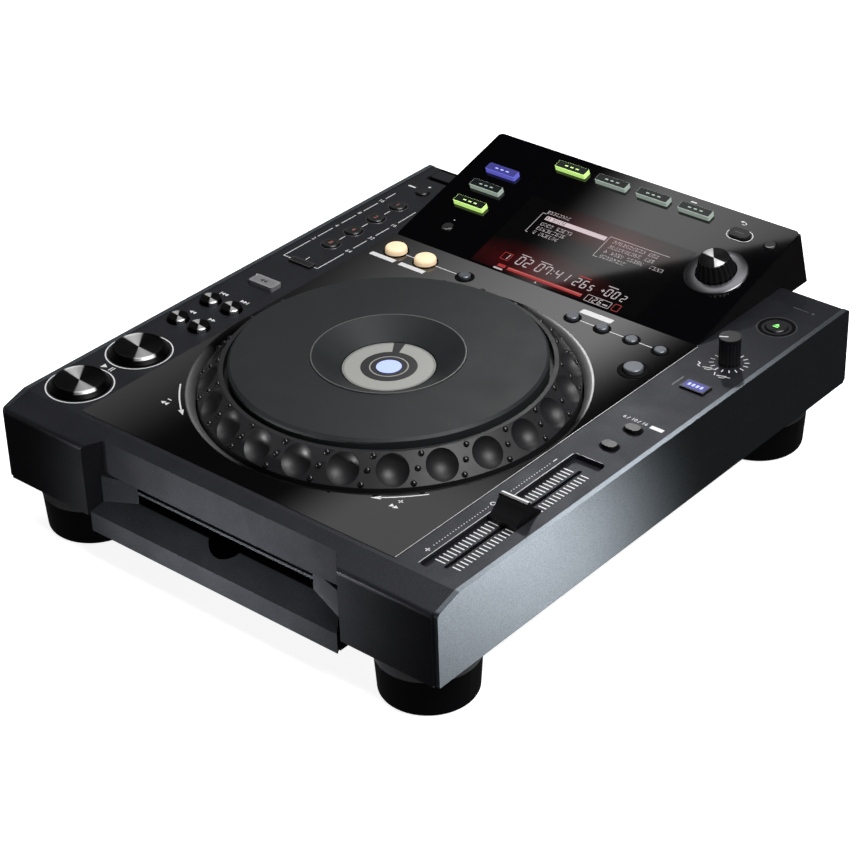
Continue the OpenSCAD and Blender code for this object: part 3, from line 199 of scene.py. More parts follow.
class Flat:
    """Flat shapes on one surface, gathered into one mesh."""

    def __init__(self, face, lift=0.0, layer=1):
        """Face is deck, display or rear; the shapes lie over it by a lift and some layers of print."""
        self.place = lambda x, y: face(x, y, lift + layer * SKIN)
        self.verts = []
        self.faces = []
        self.slots = []

    def poly(self, points, slot=0):
        start = len(self.verts)
        area = sum(a[0] * b[1] - b[0] * a[1] for a, b in zip(points, points[1:] + points[:1]))
        ordered = points if area > 0 else points[::-1]
        self.verts += [self.place(*p) for p in ordered]
        self.faces.append(list(range(start, start + len(points))))
        self.slots.append(slot)

    def line(self, a, b, width, slot=0):
        dx, dy = b[0] - a[0], b[1] - a[1]
        length = hypot(dx, dy)
        nx, ny = -dy / length * width / 2, dx / length * width / 2
        self.poly([
            (a[0] + nx, a[1] + ny), (b[0] + nx, b[1] + ny),
            (b[0] - nx, b[1] - ny), (a[0] - nx, a[1] - ny)], slot)

    def path(self, points, width):
        for a, b in zip(points, points[1:]):
            self.line(a, b, width)

    def upright(self, x, width, *ends, slot=0):
        for a, b in zip(ends[::2], ends[1::2]):
            self.line((x, a), (x, b), width, slot)

    def level(self, y, width, *ends, slot=0):
        for a, b in zip(ends[::2], ends[1::2]):
            self.line((a, y), (b, y), width, slot)

    def outline(self, centre, w, d, r):
        points, steps = [], 5
        for sx, sy, a0 in ((1, 1, 0), (-1, 1, 90), (-1, -1, 180), (1, -1, 270)):
            corner = (centre[0] + sx * (w / 2 - r), centre[1] + sy * (d / 2 - r))
            points += [polar(corner, r, radians(a0 + 90 * k / steps)) for k in range(steps + 1)]
        return points

    def bar(self, centre, w, d, r=0.3, slot=0):
        self.poly(self.outline(centre, w, d, r), slot)

    def frame(self, centre, w, d, r, width, slot=0):
        outer = self.outline(centre, w, d, r)
        inner = self.outline(centre, w - 2 * width, d - 2 * width, max(r - width, 0.01))
        for i in range(len(outer)):
            j = (i + 1) % len(outer)
            self.poly([outer[i], outer[j], inner[j], inner[i]], slot)

    def disc(self, centre, r, slot=0, steps=40):
        self.poly([polar(centre, r, tau * k / steps) for k in range(steps)], slot)

    def ring(self, centre, r0, r1, a0=0.0, a1=360.0, slot=0, steps=64):
        for k in range(steps):
            a, b = (radians(a0 + (a1 - a0) * i / steps) for i in (k, k + 1))
            self.poly([polar(centre, r, angle) for r, angle in ((r1, a), (r1, b), (r0, b), (r0, a))], slot)

    def triangle(self, tip, angle, size, slot=0, half=0.58):
        c, s = cos(radians(angle)), sin(radians(angle))
        corners = [(0, 0), (-size, size * half), (-size, -size * half)]
        self.poly([(tip[0] + x * c - y * s, tip[1] + x * s + y * c) for x, y in corners], slot)

    def numeral(self, text, centre, size):
        """Plain numerals from the built-in typeface, as mesh."""
        curve = bpy.data.curves.new("numeral", "FONT")
        curve.body = text
        curve.size = size
        curve.resolution_u = 3
        curve.align_x = "CENTER"
        curve.align_y = "CENTER"
        obj = add_object("numeral", curve)
        bpy.context.view_layer.update()
        evaluated = obj.evaluated_get(bpy.context.evaluated_depsgraph_get())
        mesh = bpy.data.meshes.new_from_object(evaluated)
        for polygon in mesh.polygons:
            points = [mesh.vertices[i].co for i in polygon.vertices]
            self.poly([(centre[0] + p.x, centre[1] + p.y) for p in points])
        bpy.data.objects.remove(obj)
        bpy.data.meshes.remove(mesh)
        bpy.data.curves.remove(curve)

    def counter(self, text, start, height, pitch, width):
        """Leaning figures of seven strokes, the first from its lower left corner."""
        half, gap, lean = height / 2, 0.14, 0.12
        u, v = start
        for char in text:
            if char in SEGMENTS:
                for key in SEGMENTS[char]:
                    ends = [(u + x * half + lean * y * half, v + y * half) for x, y in STROKES[key]]
                    mid = [(a + b) / 2 for a, b in zip(*ends)]
                    ends = [[m * gap + e * (1 - gap) for m, e in zip(mid, end)] for end in ends]
                    self.line(*ends, width)
                u += pitch
            elif char == ":":
                for rise in (0.3, 0.7):
                    dot = (u - pitch * 0.05 + lean * rise * height, v + rise * height)
                    self.disc(dot, width * 0.6, steps=8)
                u += pitch * 0.35
            elif char == "+":
                x, y, arm = u + half * 0.5 + lean * half, v + half, half * 0.4
                self.level(y, width, x - arm, x + arm)
                self.upright(x, width, y - arm, y + arm)
                u += pitch * 0.8

    def dots(self, start, letters, size, rng, columns=4):
        """A line of dot matrix filler, which spells nothing."""
        rows, blank, stray, kept = 6, 0.12, 0.28, 0.72
        for k in range(letters):
            if rng.random() < blank:
                continue
            left = start[0] + k * size * (columns + 1)
            column = rng.randrange(columns)
            for i in range(columns):
                for j in range(rows):
                    on = i == column or j in (0, rows - 1) or rng.random() < stray
                    if on and rng.random() < kept:
                        u, v = left + (i + 0.5) * size, start[1] + (j + 0.5) * size
                        self.bar((u, v), size * 0.85, size * 0.85, 0.01)

    def make(self, name, finishes, body="chassis"):
        piece(name, self.verts, self.faces, finishes, body, self.slots)


def lathe(name, profile, finish, place, steps=64, body="chassis"):
    """A profile of (radius, height) turned round a centre; place takes x, y and height."""
    n = len(profile)
    verts = [place(*polar((0, 0), r, tau * k / steps), h) for k in range(steps) for r, h in profile]
    faces = []
    for k in range(steps):
        here, beside = k * n, (k + 1) % steps * n
        faces += [(here + i, beside + i, beside + i + 1, here + i + 1) for i in range(n - 1)]
    piece(name, verts, faces, [finish], body, smooth=True)


# ---- Finishes ----

FINISHES = {}

# Turned faces that carry a painted sheen: the middle of each and its radius in mm.
SPUN = {
    "play_key": (deck(*PLAY), 15.0), "cue_key": (deck(*CUE), 15.0),
    "selector_face": (display(*SELECTOR), 8.0),
}
SPUN.update({
    f"{pair}_{way}_key": (deck(x, y), 6.3)
    for pair, y in (("search", SEARCH_Y), ("track", TRACK_Y))
    for way, x in zip(("back", "forward"), SMALL_PAIR_X)})


def new_finish(name):
    """An empty material, kept under its name: its tree, and the coordinates of its object."""
    mat = bpy.data.materials.new(name)
    mat.use_nodes = True
    mat.node_tree.nodes.clear()
    FINISHES[name] = mat
    return mat.node_tree, add(mat.node_tree, "TexCoord").outputs["Object"]


def add(tree, kind, inputs=None, **settings):
    """A shader node with its settings and inputs; an input is a value or another node's output."""
    node = tree.nodes.new("ShaderNode" + kind)
    for key, value in settings.items():
        setattr(node, key, value)
    for key, value in (inputs or {}).items():
        if isinstance(value, bpy.types.NodeSocket):
            tree.links.new(value, node.inputs[key])
        else:
            node.inputs[key].default_value = value
    return node


def close(tree, inputs, kind="BsdfPrincipled"):
    """Ends a material with its shader."""
    shader = add(tree, kind, inputs)
    add(tree, "OutputMaterial", {"Surface": shader.outputs[0]})


def sums(tree, operation, a, b):
    """The result of a sum on two values."""
    return add(tree, "Math", {0: a, 1: b}, operation=operation).outputs[0]


def vectors(tree, operation, a, b=(0, 0, 0)):
    """The result of a sum on vectors, a number for a length or a dot product."""
    node = add(tree, "VectorMath", {0: a, 1: b}, operation=operation)
    return node.outputs["Value" if operation in ("DOT_PRODUCT", "LENGTH") else "Vector"]


def noise(tree, coords, scale, detail=2.0, rough=0.5):
    inputs = {"Vector": coords, "Scale": scale, "Detail": detail, "Roughness": rough}
    return add(tree, "TexNoise", inputs).outputs["Fac"]


def remap(tree, value, start, end, low=0.0, high=1.0, kind="LINEAR"):
    """A value's range from start to end, laid over the range from low to high."""
    inputs = {"Value": value, "From Min": start, "From Max": end, "To Min": low, "To Max": high}
    return add(tree, "MapRange", inputs, interpolation_type=kind).outputs["Result"]


def ramp(tree, factor, stops):
    node = add(tree, "ValToRGB", {"Fac": factor})
    elements = node.color_ramp.elements
    while len(elements) < len(stops):
        elements.new(0.5)
    for element, (position, colour) in zip(elements, stops):
        element.position = position
        element.color = (*colour, 1.0)
    return node.outputs["Color"]


def shade(colour, factor):
    return tuple(min(1.0, c * factor) for c in colour)


def surface(name, colour, rough, vary=0.12, patch=60.0, grain=2500.0, bump=0.04, metallic=0.0, coat=0.0,
            coat_rough=0.05, rough_vary=0.12, emission=(1, 1, 1), strength=0.0, specular=0.5, fleck=0.5):
    """A painted, moulded or metal surface: slow and fine variation of tone, roughness and relief."""
    tree, coords = new_finish(name)
    slow = noise(tree, coords, patch, 4.0, 0.6)
    fine = noise(tree, coords, grain, 3.0, 0.6)
    blend = add(tree, "Mix", {"Factor": fleck, "A": slow, "B": fine}, data_type="FLOAT")
    stops = [(0.3, shade(colour, 1 - vary)), (0.7, shade(colour, 1 + vary))]
    least, most = rough * (1 - rough_vary), min(1.0, rough * (1 + rough_vary))
    relief = add(tree, "Bump", {"Height": fine, "Strength": bump, "Distance": 0.05 * MM})
    close(tree, {
        "Base Color": ramp(tree, blend.outputs["Result"], stops), "Normal": relief.outputs["Normal"],
        "Roughness": remap(tree, slow, 0.25, 0.75, least, most), "Metallic": metallic,
        "Coat Weight": coat, "Coat Roughness": coat_rough, "Specular IOR Level": specular,
        "Emission Color": (*emission, 1.0), "Emission Strength": strength})


def spun_painted_sheen(name, centre, out, along, radius, dark=0.012, bright=0.62, edge=(0.80, 0.88)):
    """Turned metal: fine rings round a centre, and a painted sheen, two bright opposite sectors painted into
    the base colour.
    """
    tree, coords = new_finish(name)
    whole = vectors(tree, "SUBTRACT", coords, centre)
    arm = vectors(tree, "SUBTRACT", whole, vectors(tree, "PROJECT", whole, out))
    cosine = vectors(tree, "DOT_PRODUCT", vectors(tree, "NORMALIZE", arm), along)
    square = sums(tree, "MULTIPLY", cosine, cosine)
    length = vectors(tree, "LENGTH", arm)
    rings = add(tree, "TexNoise", {"W": length, "Scale": 4000.0, "Detail": 1.0}, noise_dimensions="1D")
    # Painted sheen: bright where the arm runs near the given direction, only inside the face's radius.
    painted_sheen = remap(tree, square, *edge, 0.0, bright)
    face = remap(tree, length, (radius + 0.3) * MM, radius * MM)
    painted_sheen = sums(tree, "ADD", sums(tree, "MULTIPLY", painted_sheen, face), dark)
    tone = remap(tree, rings.outputs["Fac"], 0.0, 1.0, 0.75, 1.15)
    value = sums(tree, "MULTIPLY", painted_sheen, tone)
    close(tree, {
        "Base Color": value, "Metallic": 1.0, "Roughness": 0.42, "Anisotropic": 0.6, "Tangent": arm})


def lit(name, colour, strength, body=1.0):
    """A lit window or print whose brightness varies a little; body is its share of colour when unlit."""
    tree, coords = new_finish(name)
    grain = noise(tree, coords, 900.0)
    tone, base = (
        ramp(tree, grain, [(0.3, shade(colour, share * 0.92)), (0.7, shade(colour, share))])
        for share in (1.0, body))
    close(tree, {
        "Base Color": base, "Emission Color": tone, "Emission Strength": strength, "Roughness": 0.35})


def screen_glass(name, colour, strength, lamps):
    """Dark glass over lamps, each with a centre and a reach, whose light fades away from them."""
    tree, coords = new_finish(name)
    cloud = noise(tree, coords, 40.0)
    total = 0.0
    for centre, reach in lamps:
        inputs = {"Vector": coords, "Location": tuple(centre), "Scale": tuple(reach)}
        place = add(tree, "Mapping", inputs, vector_type="TEXTURE").outputs["Vector"]
        ball = add(tree, "TexGradient", {"Vector": place}, gradient_type="SPHERICAL")
        total = sums(tree, "ADD", ball.outputs["Fac"], total)
    tone = ramp(tree, sums(tree, "MULTIPLY", total, cloud), [(0.0, (0, 0, 0)), (0.5, colour)])
    close(tree, {
        "Base Color": (0.003, 0.003, 0.003, 1), "Roughness": 0.03, "Emission Color": tone,
        "Emission Strength": strength})


def card_glow(name, patches):
    """Light of a reflector card: soft patches, each with a level and fades along given angles."""
    tree, coords = new_finish(name)
    total = 0.0
    for level, fades in patches:
        product = level
        for angle, start, end in fades:
            along = vectors(tree, "DOT_PRODUCT", coords, heading(angle))
            step = remap(tree, along, start * MM, end * MM, kind="SMOOTHSTEP")
            product = sums(tree, "MULTIPLY", step, product)
        total = sums(tree, "ADD", product, total)
    close(tree, {"Color": (1, 1, 1, 1), "Strength": total}, "Emission")


def dress(finishes):
    """Gives CAD nodes their finishes, from the names of the nodes under each finish."""
    for name, nodes in finishes.items():
        for node in nodes.split():
            slots = NODES[node].data.materials
            if not slots:
                slots.append(FINISHES[name])
            for i in range(len(slots)):
                slots[i] = FINISHES[name]


# ---- Settings ----

class CaseSettings(PropertyGroup):
    paint: FloatVectorProperty(
        name="Case paint", description="Colour of the painted case", subtype="COLOR",
        default=(0.034, 0.035, 0.042), min=0, max=1)
    side_paint: FloatVectorProperty(
        name="Side panel paint", description="Colour of the metallic side panels", subtype="COLOR",
        default=(0.20, 0.225, 0.25), min=0, max=1)
    paint_roughness: FloatProperty(
        name="Paint roughness", description="Roughness of the case paint", default=0.44, min=0, max=1)


class PrintSettings(PropertyGroup):
    ink: FloatVectorProperty(
        name="Ink", description="Colour of the printed marks", subtype="COLOR",
        default=(0.75, 0.75, 0.76), min=0, max=1)
    line: FloatProperty(
        name="Line width", description="Width of a printed line, in millimetres", default=0.6, min=0.2, max=2)
    ring: FloatProperty(
        name="Key ring width", description="Width of the white rings round the large keys, in millimetres",
        default=0.75, min=0.3, max=2)


class JogSettings(PropertyGroup):
    stud_rows: IntProperty(
        name="Stud rows", description="Rows of studs round the jog wheel", default=24, min=6, max=36)
    stud_radius: FloatProperty(
        name="Stud radius", description="Radius of one stud, in millimetres", default=1.7, min=0.5, max=3)


class StageSettings(PropertyGroup):
    lens: FloatProperty(
        name="Lens", description="Focal length of the camera", default=105.9, min=20, max=300, unit="CAMERA")
    floor: FloatVectorProperty(
        name="Floor", description="Colour of the floor", subtype="COLOR",
        default=(0.86, 0.86, 0.86), min=0, max=1)
    light: FloatProperty(
        name="Light", description="Brightness of the lights", default=1.0, min=0.1, max=4)


# ---- Making the finishes ----

def make_paints(case):
    """Finishes of the case, the base, the rear and the parts inside."""
    flecked = {"vary": 0.4, "bump": 0.16, "grain": 2400.0, "fleck": 0.95}
    gloss = {"bump": 0.0, "coat": 0.3, "coat_rough": 0.03}
    surface("case_paint", tuple(case.paint), case.paint_roughness, metallic=0.72, **flecked)
    # A lighter copy of the case paint for the slot fascia: painted light on its chin and ramp.
    surface("fascia_painted_light", (0.05, 0.053, 0.062), 0.44, metallic=0.75, **flecked)
    surface("side_paint", tuple(case.side_paint), 0.38, vary=0.5, grain=3800.0, bump=0.3, metallic=1.0,
            fleck=1.0, rough_vary=0.04)
    surface("gloss_plate", (0.003, 0.003, 0.003), 0.035, **gloss)
    surface("cover_gloss", (0.002, 0.002, 0.0025), 0.03, **gloss)
    surface("base_sheet", (0.012, 0.012, 0.013), 0.5, bump=0.1)
    surface("foot_gloss", (0.004, 0.004, 0.005), 0.14, bump=0.02, coat=0.4)
    surface("collar_grey", (0.38, 0.39, 0.41), 0.35, metallic=0.7)
    surface("housing_black", (0.006, 0.005, 0.005), 0.25, bump=0.05, grain=4000.0)
    surface("rear_matt", (0.01, 0.01, 0.011), 0.55, bump=0.15)
    surface("screw_black", (0.04, 0.04, 0.042), 0.35, metallic=0.9)
    surface("board_green", (0.01, 0.09, 0.04), 0.4, vary=0.3, grain=900.0)
    surface("turned_metal", (0.5, 0.5, 0.52), 0.3, metallic=1.0)
    surface("sheet_metal", (0.4, 0.41, 0.42), 0.38, metallic=0.9, vary=0.08)
    surface("roller_rubber", (0.03, 0.03, 0.032), 0.75, bump=0.2)
    surface("moulded_grey", (0.03, 0.03, 0.033), 0.5)
    surface("contact_metal", (0.75, 0.6, 0.35), 0.25, metallic=1.0)
    surface("socket_white", (0.7, 0.7, 0.7), 0.4)
    surface("socket_red", (0.5, 0.02, 0.02), 0.4)


def make_key_finishes():
    """Finishes of the jog wheel, the keys and the knobs."""
    surface("wheel_black", (0.011, 0.011, 0.0125), 0.46, bump=0.05, grain=4000.0)
    surface("stud_black", (0.007, 0.007, 0.008), 0.18, bump=0.0)
    surface("top_plate_paint", (0.023, 0.026, 0.027), 0.5, bump=0.12, grain=6000.0, metallic=0.2,
            specular=0.3)
    surface("jog_dark", (0.02, 0.02, 0.022), 0.3)
    # Near-black with almost no gloss: painted shade of the gaps round small keys.
    surface("key_well", (0.002, 0.002, 0.002), 0.6, specular=0.08)
    surface("silver_key", (0.36, 0.36, 0.38), 0.3, metallic=0.5)
    surface("black_key", (0.008, 0.008, 0.009), 0.34, bump=0.0)
    surface("grey_key", (0.15, 0.16, 0.18), 0.45, metallic=0.6, bump=0.0)
    surface("knob_black", (0.006, 0.006, 0.007), 0.36, bump=0.1)
    surface("trim_metal", (0.15, 0.15, 0.16), 0.3, metallic=1.0, vary=0.05)
    surface("key_inlay", (0.006, 0.009, 0.009), 0.2)
    for name, colour, rough, emission, strength in (
            ("lit_cream", (0.95, 0.75, 0.52), 0.3, (1.0, 0.72, 0.42), 0.35),
            ("clear_key", (0.30, 0.36, 0.32), 0.25, (0.55, 0.66, 0.58), 0.35),
            ("green_key", (0.55, 0.75, 0.3), 0.25, (0.62, 1.0, 0.25), 0.7),
            ("blue_key", (0.10, 0.10, 0.40), 0.25, (0.20, 0.20, 1.0), 0.42)):
        surface(name, colour, rough, vary=0.05, emission=emission, strength=strength)
    level = Vector((0, 0, 1))
    # Each turned face, and the well's lip below, gets a painted sheen in two opposite sectors.
    for name, (place, radius) in SPUN.items():
        out = DISPLAY_OUT if name == "selector_face" else level
        painted_sheen = heading(KEY_PAINTED_SHEEN)
        spun_painted_sheen("spun_" + name, place, out, (painted_sheen - out * painted_sheen.dot(out)).normalized(), radius)
    spun_painted_sheen("lip_sheen", deck(*JOG), level, heading(LIP_PAINTED_SHEEN), 110.0, dark=0.01, bright=0.8, edge=(0.66, 0.98))


def make_prints(prints):
    """Finishes of the prints, the lamps and the screen."""
    # A pale finish for thin lines; along the plate's edge and on the small keys' arcs it is a painted
    # highlight.
    surface("bright_edge", (0.42, 0.42, 0.43), 0.3, vary=0.2)
    surface("lamp_off", (0.05, 0.05, 0.055), 0.25)
    surface("screen_dark", (0.01, 0.002, 0.002), 0.1, bump=0.0)
    # Printed ink and dim ink also glow faintly, though they are no lamps: a painted glow over the print.
    lit("printed_ink", tuple(prints.ink), 0.05)
    lit("dim_ink", (0.10, 0.10, 0.10), 0.05)
    lit("blue_inlay", (0.025, 0.025, 0.17), 0.6)
    lit("lamp_green", (0.25, 0.9, 0.2), 0.9)
    lit("lamp_red", (0.34, 0.13, 0.10), 0.35)
    lit("lamp_blue", (0.35, 0.40, 1.0), 0.9)
    lit("jog_white", (0.36, 0.36, 0.34), 0.05)
    lit("jog_centre", (0.42, 0.52, 0.78), 0.45)
    lit("screen_red", (0.60, 0.02, 0.025), 0.45, 0.2)
    lit("screen_text", (0.75, 0.66, 0.68), 0.62, 0.05)
    lit("screen_bar", (0.80, 0.66, 0.70), 0.75, 0.1)
    screen_glass("screen_glass", (0.16, 0.006, 0.010), 0.35, (
        (display(14, 54), (0.050, 0.016, 0.022)), (display(-12, 12), (0.060, 0.018, 0.022))))


# ---- Steps ----

class DISC_PLAYER_OT_case(Operator):
    """Makes the finishes and paints the case, its panels, the base and the display housing"""
    bl_idname = "disc_player.case"
    bl_label = "Finish Case"

    def execute(self, context):
        make_paints(context.scene.disc_player_case)
        make_key_finishes()
        make_prints(context.scene.disc_player_prints)
        # The slot fascia takes the lighter copy of the case paint, as painted light.
        dress({
            "case_paint": "deck_shell port_flap", "side_paint": "side_panels", "gloss_plate": "centre_plate",
            "fascia_painted_light": "slot_fascia", "base_sheet": "base_pan", "foot_gloss": "rubber_feet",
            "housing_black": "display_housing", "cover_gloss": "display_cover", "rear_matt": "rear_panel",
            "screw_black": "base_screws"})
        self.collars()
        return {"FINISHED"}

    def collars(self):
        """Pale rings round the upper part of the feet."""
        low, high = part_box("rubber_feet")
        r = 28.5
        profile = [(r - 1.1, 22.4), (r - 1.02, 22.5), (r - 0.72, 27.9), (r + 0.06, 27.95), (r + 0.06, 30.9)]
        for side, x in (("left", low[0] / MM + r), ("right", high[0] / MM - r)):
            for end, y in (("front", low[1] / MM + r), ("rear", high[1] / MM - r)):
                lathe(f"foot_collar_{side}_{end}", profile, "collar_grey", around(ground, (x, y)), 72)


class DISC_PLAYER_OT_keys(Operator):
    """Finishes the keys, knobs and the slider"""
    bl_idname = "disc_player.keys"
    bl_label = "Finish Keys"

    def execute(self, context):
        dress({"spun_" + name: name for name in SPUN if name in NODES})
        dress({
            "silver_key": "direction_key",
            "black_key": "beat_select_key loop_key_1 loop_key_2 loop_key_3 loop_key_4 media_stop_key "
                         "eject_key tempo_range_key tempo_lock_key time_mode_key back_key tag_track_key "
                         "jog_mode_key",
            "grey_key": "reloop_key call_back_key call_forward_key delete_key memory_key slip_key",
            "lit_cream": "loop_in_key loop_out_key",
            "clear_key": "media_source_key tag_list_key info_key menu_key",
            "green_key": "disc_source_key browse_key", "blue_key": "network_source_key",
            "knob_black": "speed_knob tempo_slider rotary_selector power_switch",
            "turned_metal": "selector_shaft"})
        return {"FINISHED"}


class DISC_PLAYER_OT_drive(Operator):
    """Finishes the disc drive and the boards"""
    bl_idname = "disc_player.drive"
    bl_label = "Finish Drive"

    def execute(self, context):
        dress({
            "sheet_metal": "drive_frame", "roller_rubber": "feed_roller", "board_green": "circuit_boards",
            "moulded_grey": "disc_turntable laser_sled"})
        return {"FINISHED"}


class DISC_PLAYER_OT_jog(Operator):
    """Finishes the jog wheel, its studs and the picture on its display"""
    bl_idname = "disc_player.jog"
    bl_label = "Finish Jog Wheel"

    def execute(self, context):
        dress({
            "wheel_black": "jog_wheel", "top_plate_paint": "jog_top_plate", "turned_metal": "jog_post",
            "jog_dark": "jog_display"})
        self.studs(context.scene.disc_player_jog)
        self.picture()
        self.lips()
        return {"FINISHED"}

    def studs(self, settings):
        """Rows of three round studs up the skirt, between its dimples."""
        high, low = (Vector((r, 0, h)) for r, h in (SKIRT_HIGH, SKIRT_LOW))
        slope = (low - high).normalized()
        normal = Vector((-slope.z, 0, slope.x))
        height = settings.stud_radius * 0.75
        rings, sides, sunk = 4, 14, 0.02
        dome, shell = [], []
        for i in range(rings):
            rise = pi / 2 * i / rings
            out = settings.stud_radius * cos(rise)
            for j in range(sides):
                x, y = polar((0, 0), out, tau * j / sides)
                dome.append(slope * x + Vector((0, y, 0)) + normal * (height * sin(rise) - sunk))
                here, beside = i * sides + j, i * sides + (j + 1) % sides
                above = (beside + sides, here + sides) if i + 1 < rings else (rings * sides,)
                shell.append((here, beside, *above))
        dome.append(normal * height)
        verts, faces = [], []
        for k in range(settings.stud_rows):
            a = tau * (k + 0.5) / settings.stud_rows
            for share in (0.1, 0.5, 0.9):
                turn = Matrix.Rotation(a + radians(DIMPLE_TURN + STUD_LEAN * (0.5 - share)), 3, "Z")
                faces += [[len(verts) + i for i in face] for face in shell]
                for p in dome:
                    x, y, h = turn @ (high.lerp(low, share) + p)
                    verts.append(deck(JOG[0] + x, JOG[1] + y, h))
        piece("jog_studs", verts, faces, ["stud_black"], "jog_wheel", smooth=True)

    def picture(self):
        """A round scale with a gap, fine ticks at its edge and a lit middle."""
        flat = Flat(deck, TOP["jog_display"])
        gap = (110.0, 124.5)
        flat.ring(JOG, 15.4, 24.0, gap[1], gap[0] + 360, 0, 90)
        count = 135
        for k in range(count):
            a = gap[1] + (360 - (gap[1] - gap[0])) * (k + 0.5) / count
            flat.ring(JOG, 24.0, 25.2, a - 0.8, a + 0.8, 0, 1)
        flat.ring(JOG, 10.0, 10.7, 0, 360, 0, 48)
        flat.disc(JOG, 6.4, 1)
        flat.ring(JOG, 6.4, 6.9, 0, 360, 2, 40)
        flat.make("jog_picture", ["jog_white", "jog_centre", "lamp_blue"])

    def lips(self):
        """Rounded lip of the well with a painted sheen, a black band on the top plate's side that is painted
        shade of the gap under the plate, and a thin pale line along its dish.
        """
        edge = [
            (WELL, PLATE), (WELL - 0.2, PLATE + 0.12), (108.2, PLATE - 0.1), (106.6, PLATE - 1.1),
            (105.2, PLATE - 2.8), (104.6, PLATE - 5.0), (104.5, -7.0)]
        side = [(85.9, 16.35), (PLATE_SIDE, 16.2), (PLATE_SIDE, 9.3)]
        dish = [(41.15, 18.2), (41.5, 18.28), (41.9, 18.2)]
        # The well's lip carries a painted sheen in two opposite sectors.
        lathe("jog_well_lip", edge, "lip_sheen", around(deck, JOG), 160)
        # A black band on the plate's side: painted shade of the gap between the plate and the skirt.
        lathe("jog_plate_side", side, "black_key", around(deck, JOG), 128, "jog_top_plate")
        lathe("jog_dish_lip", dish, "dim_ink", around(deck, JOG, 0.02), 96, "jog_top_plate")


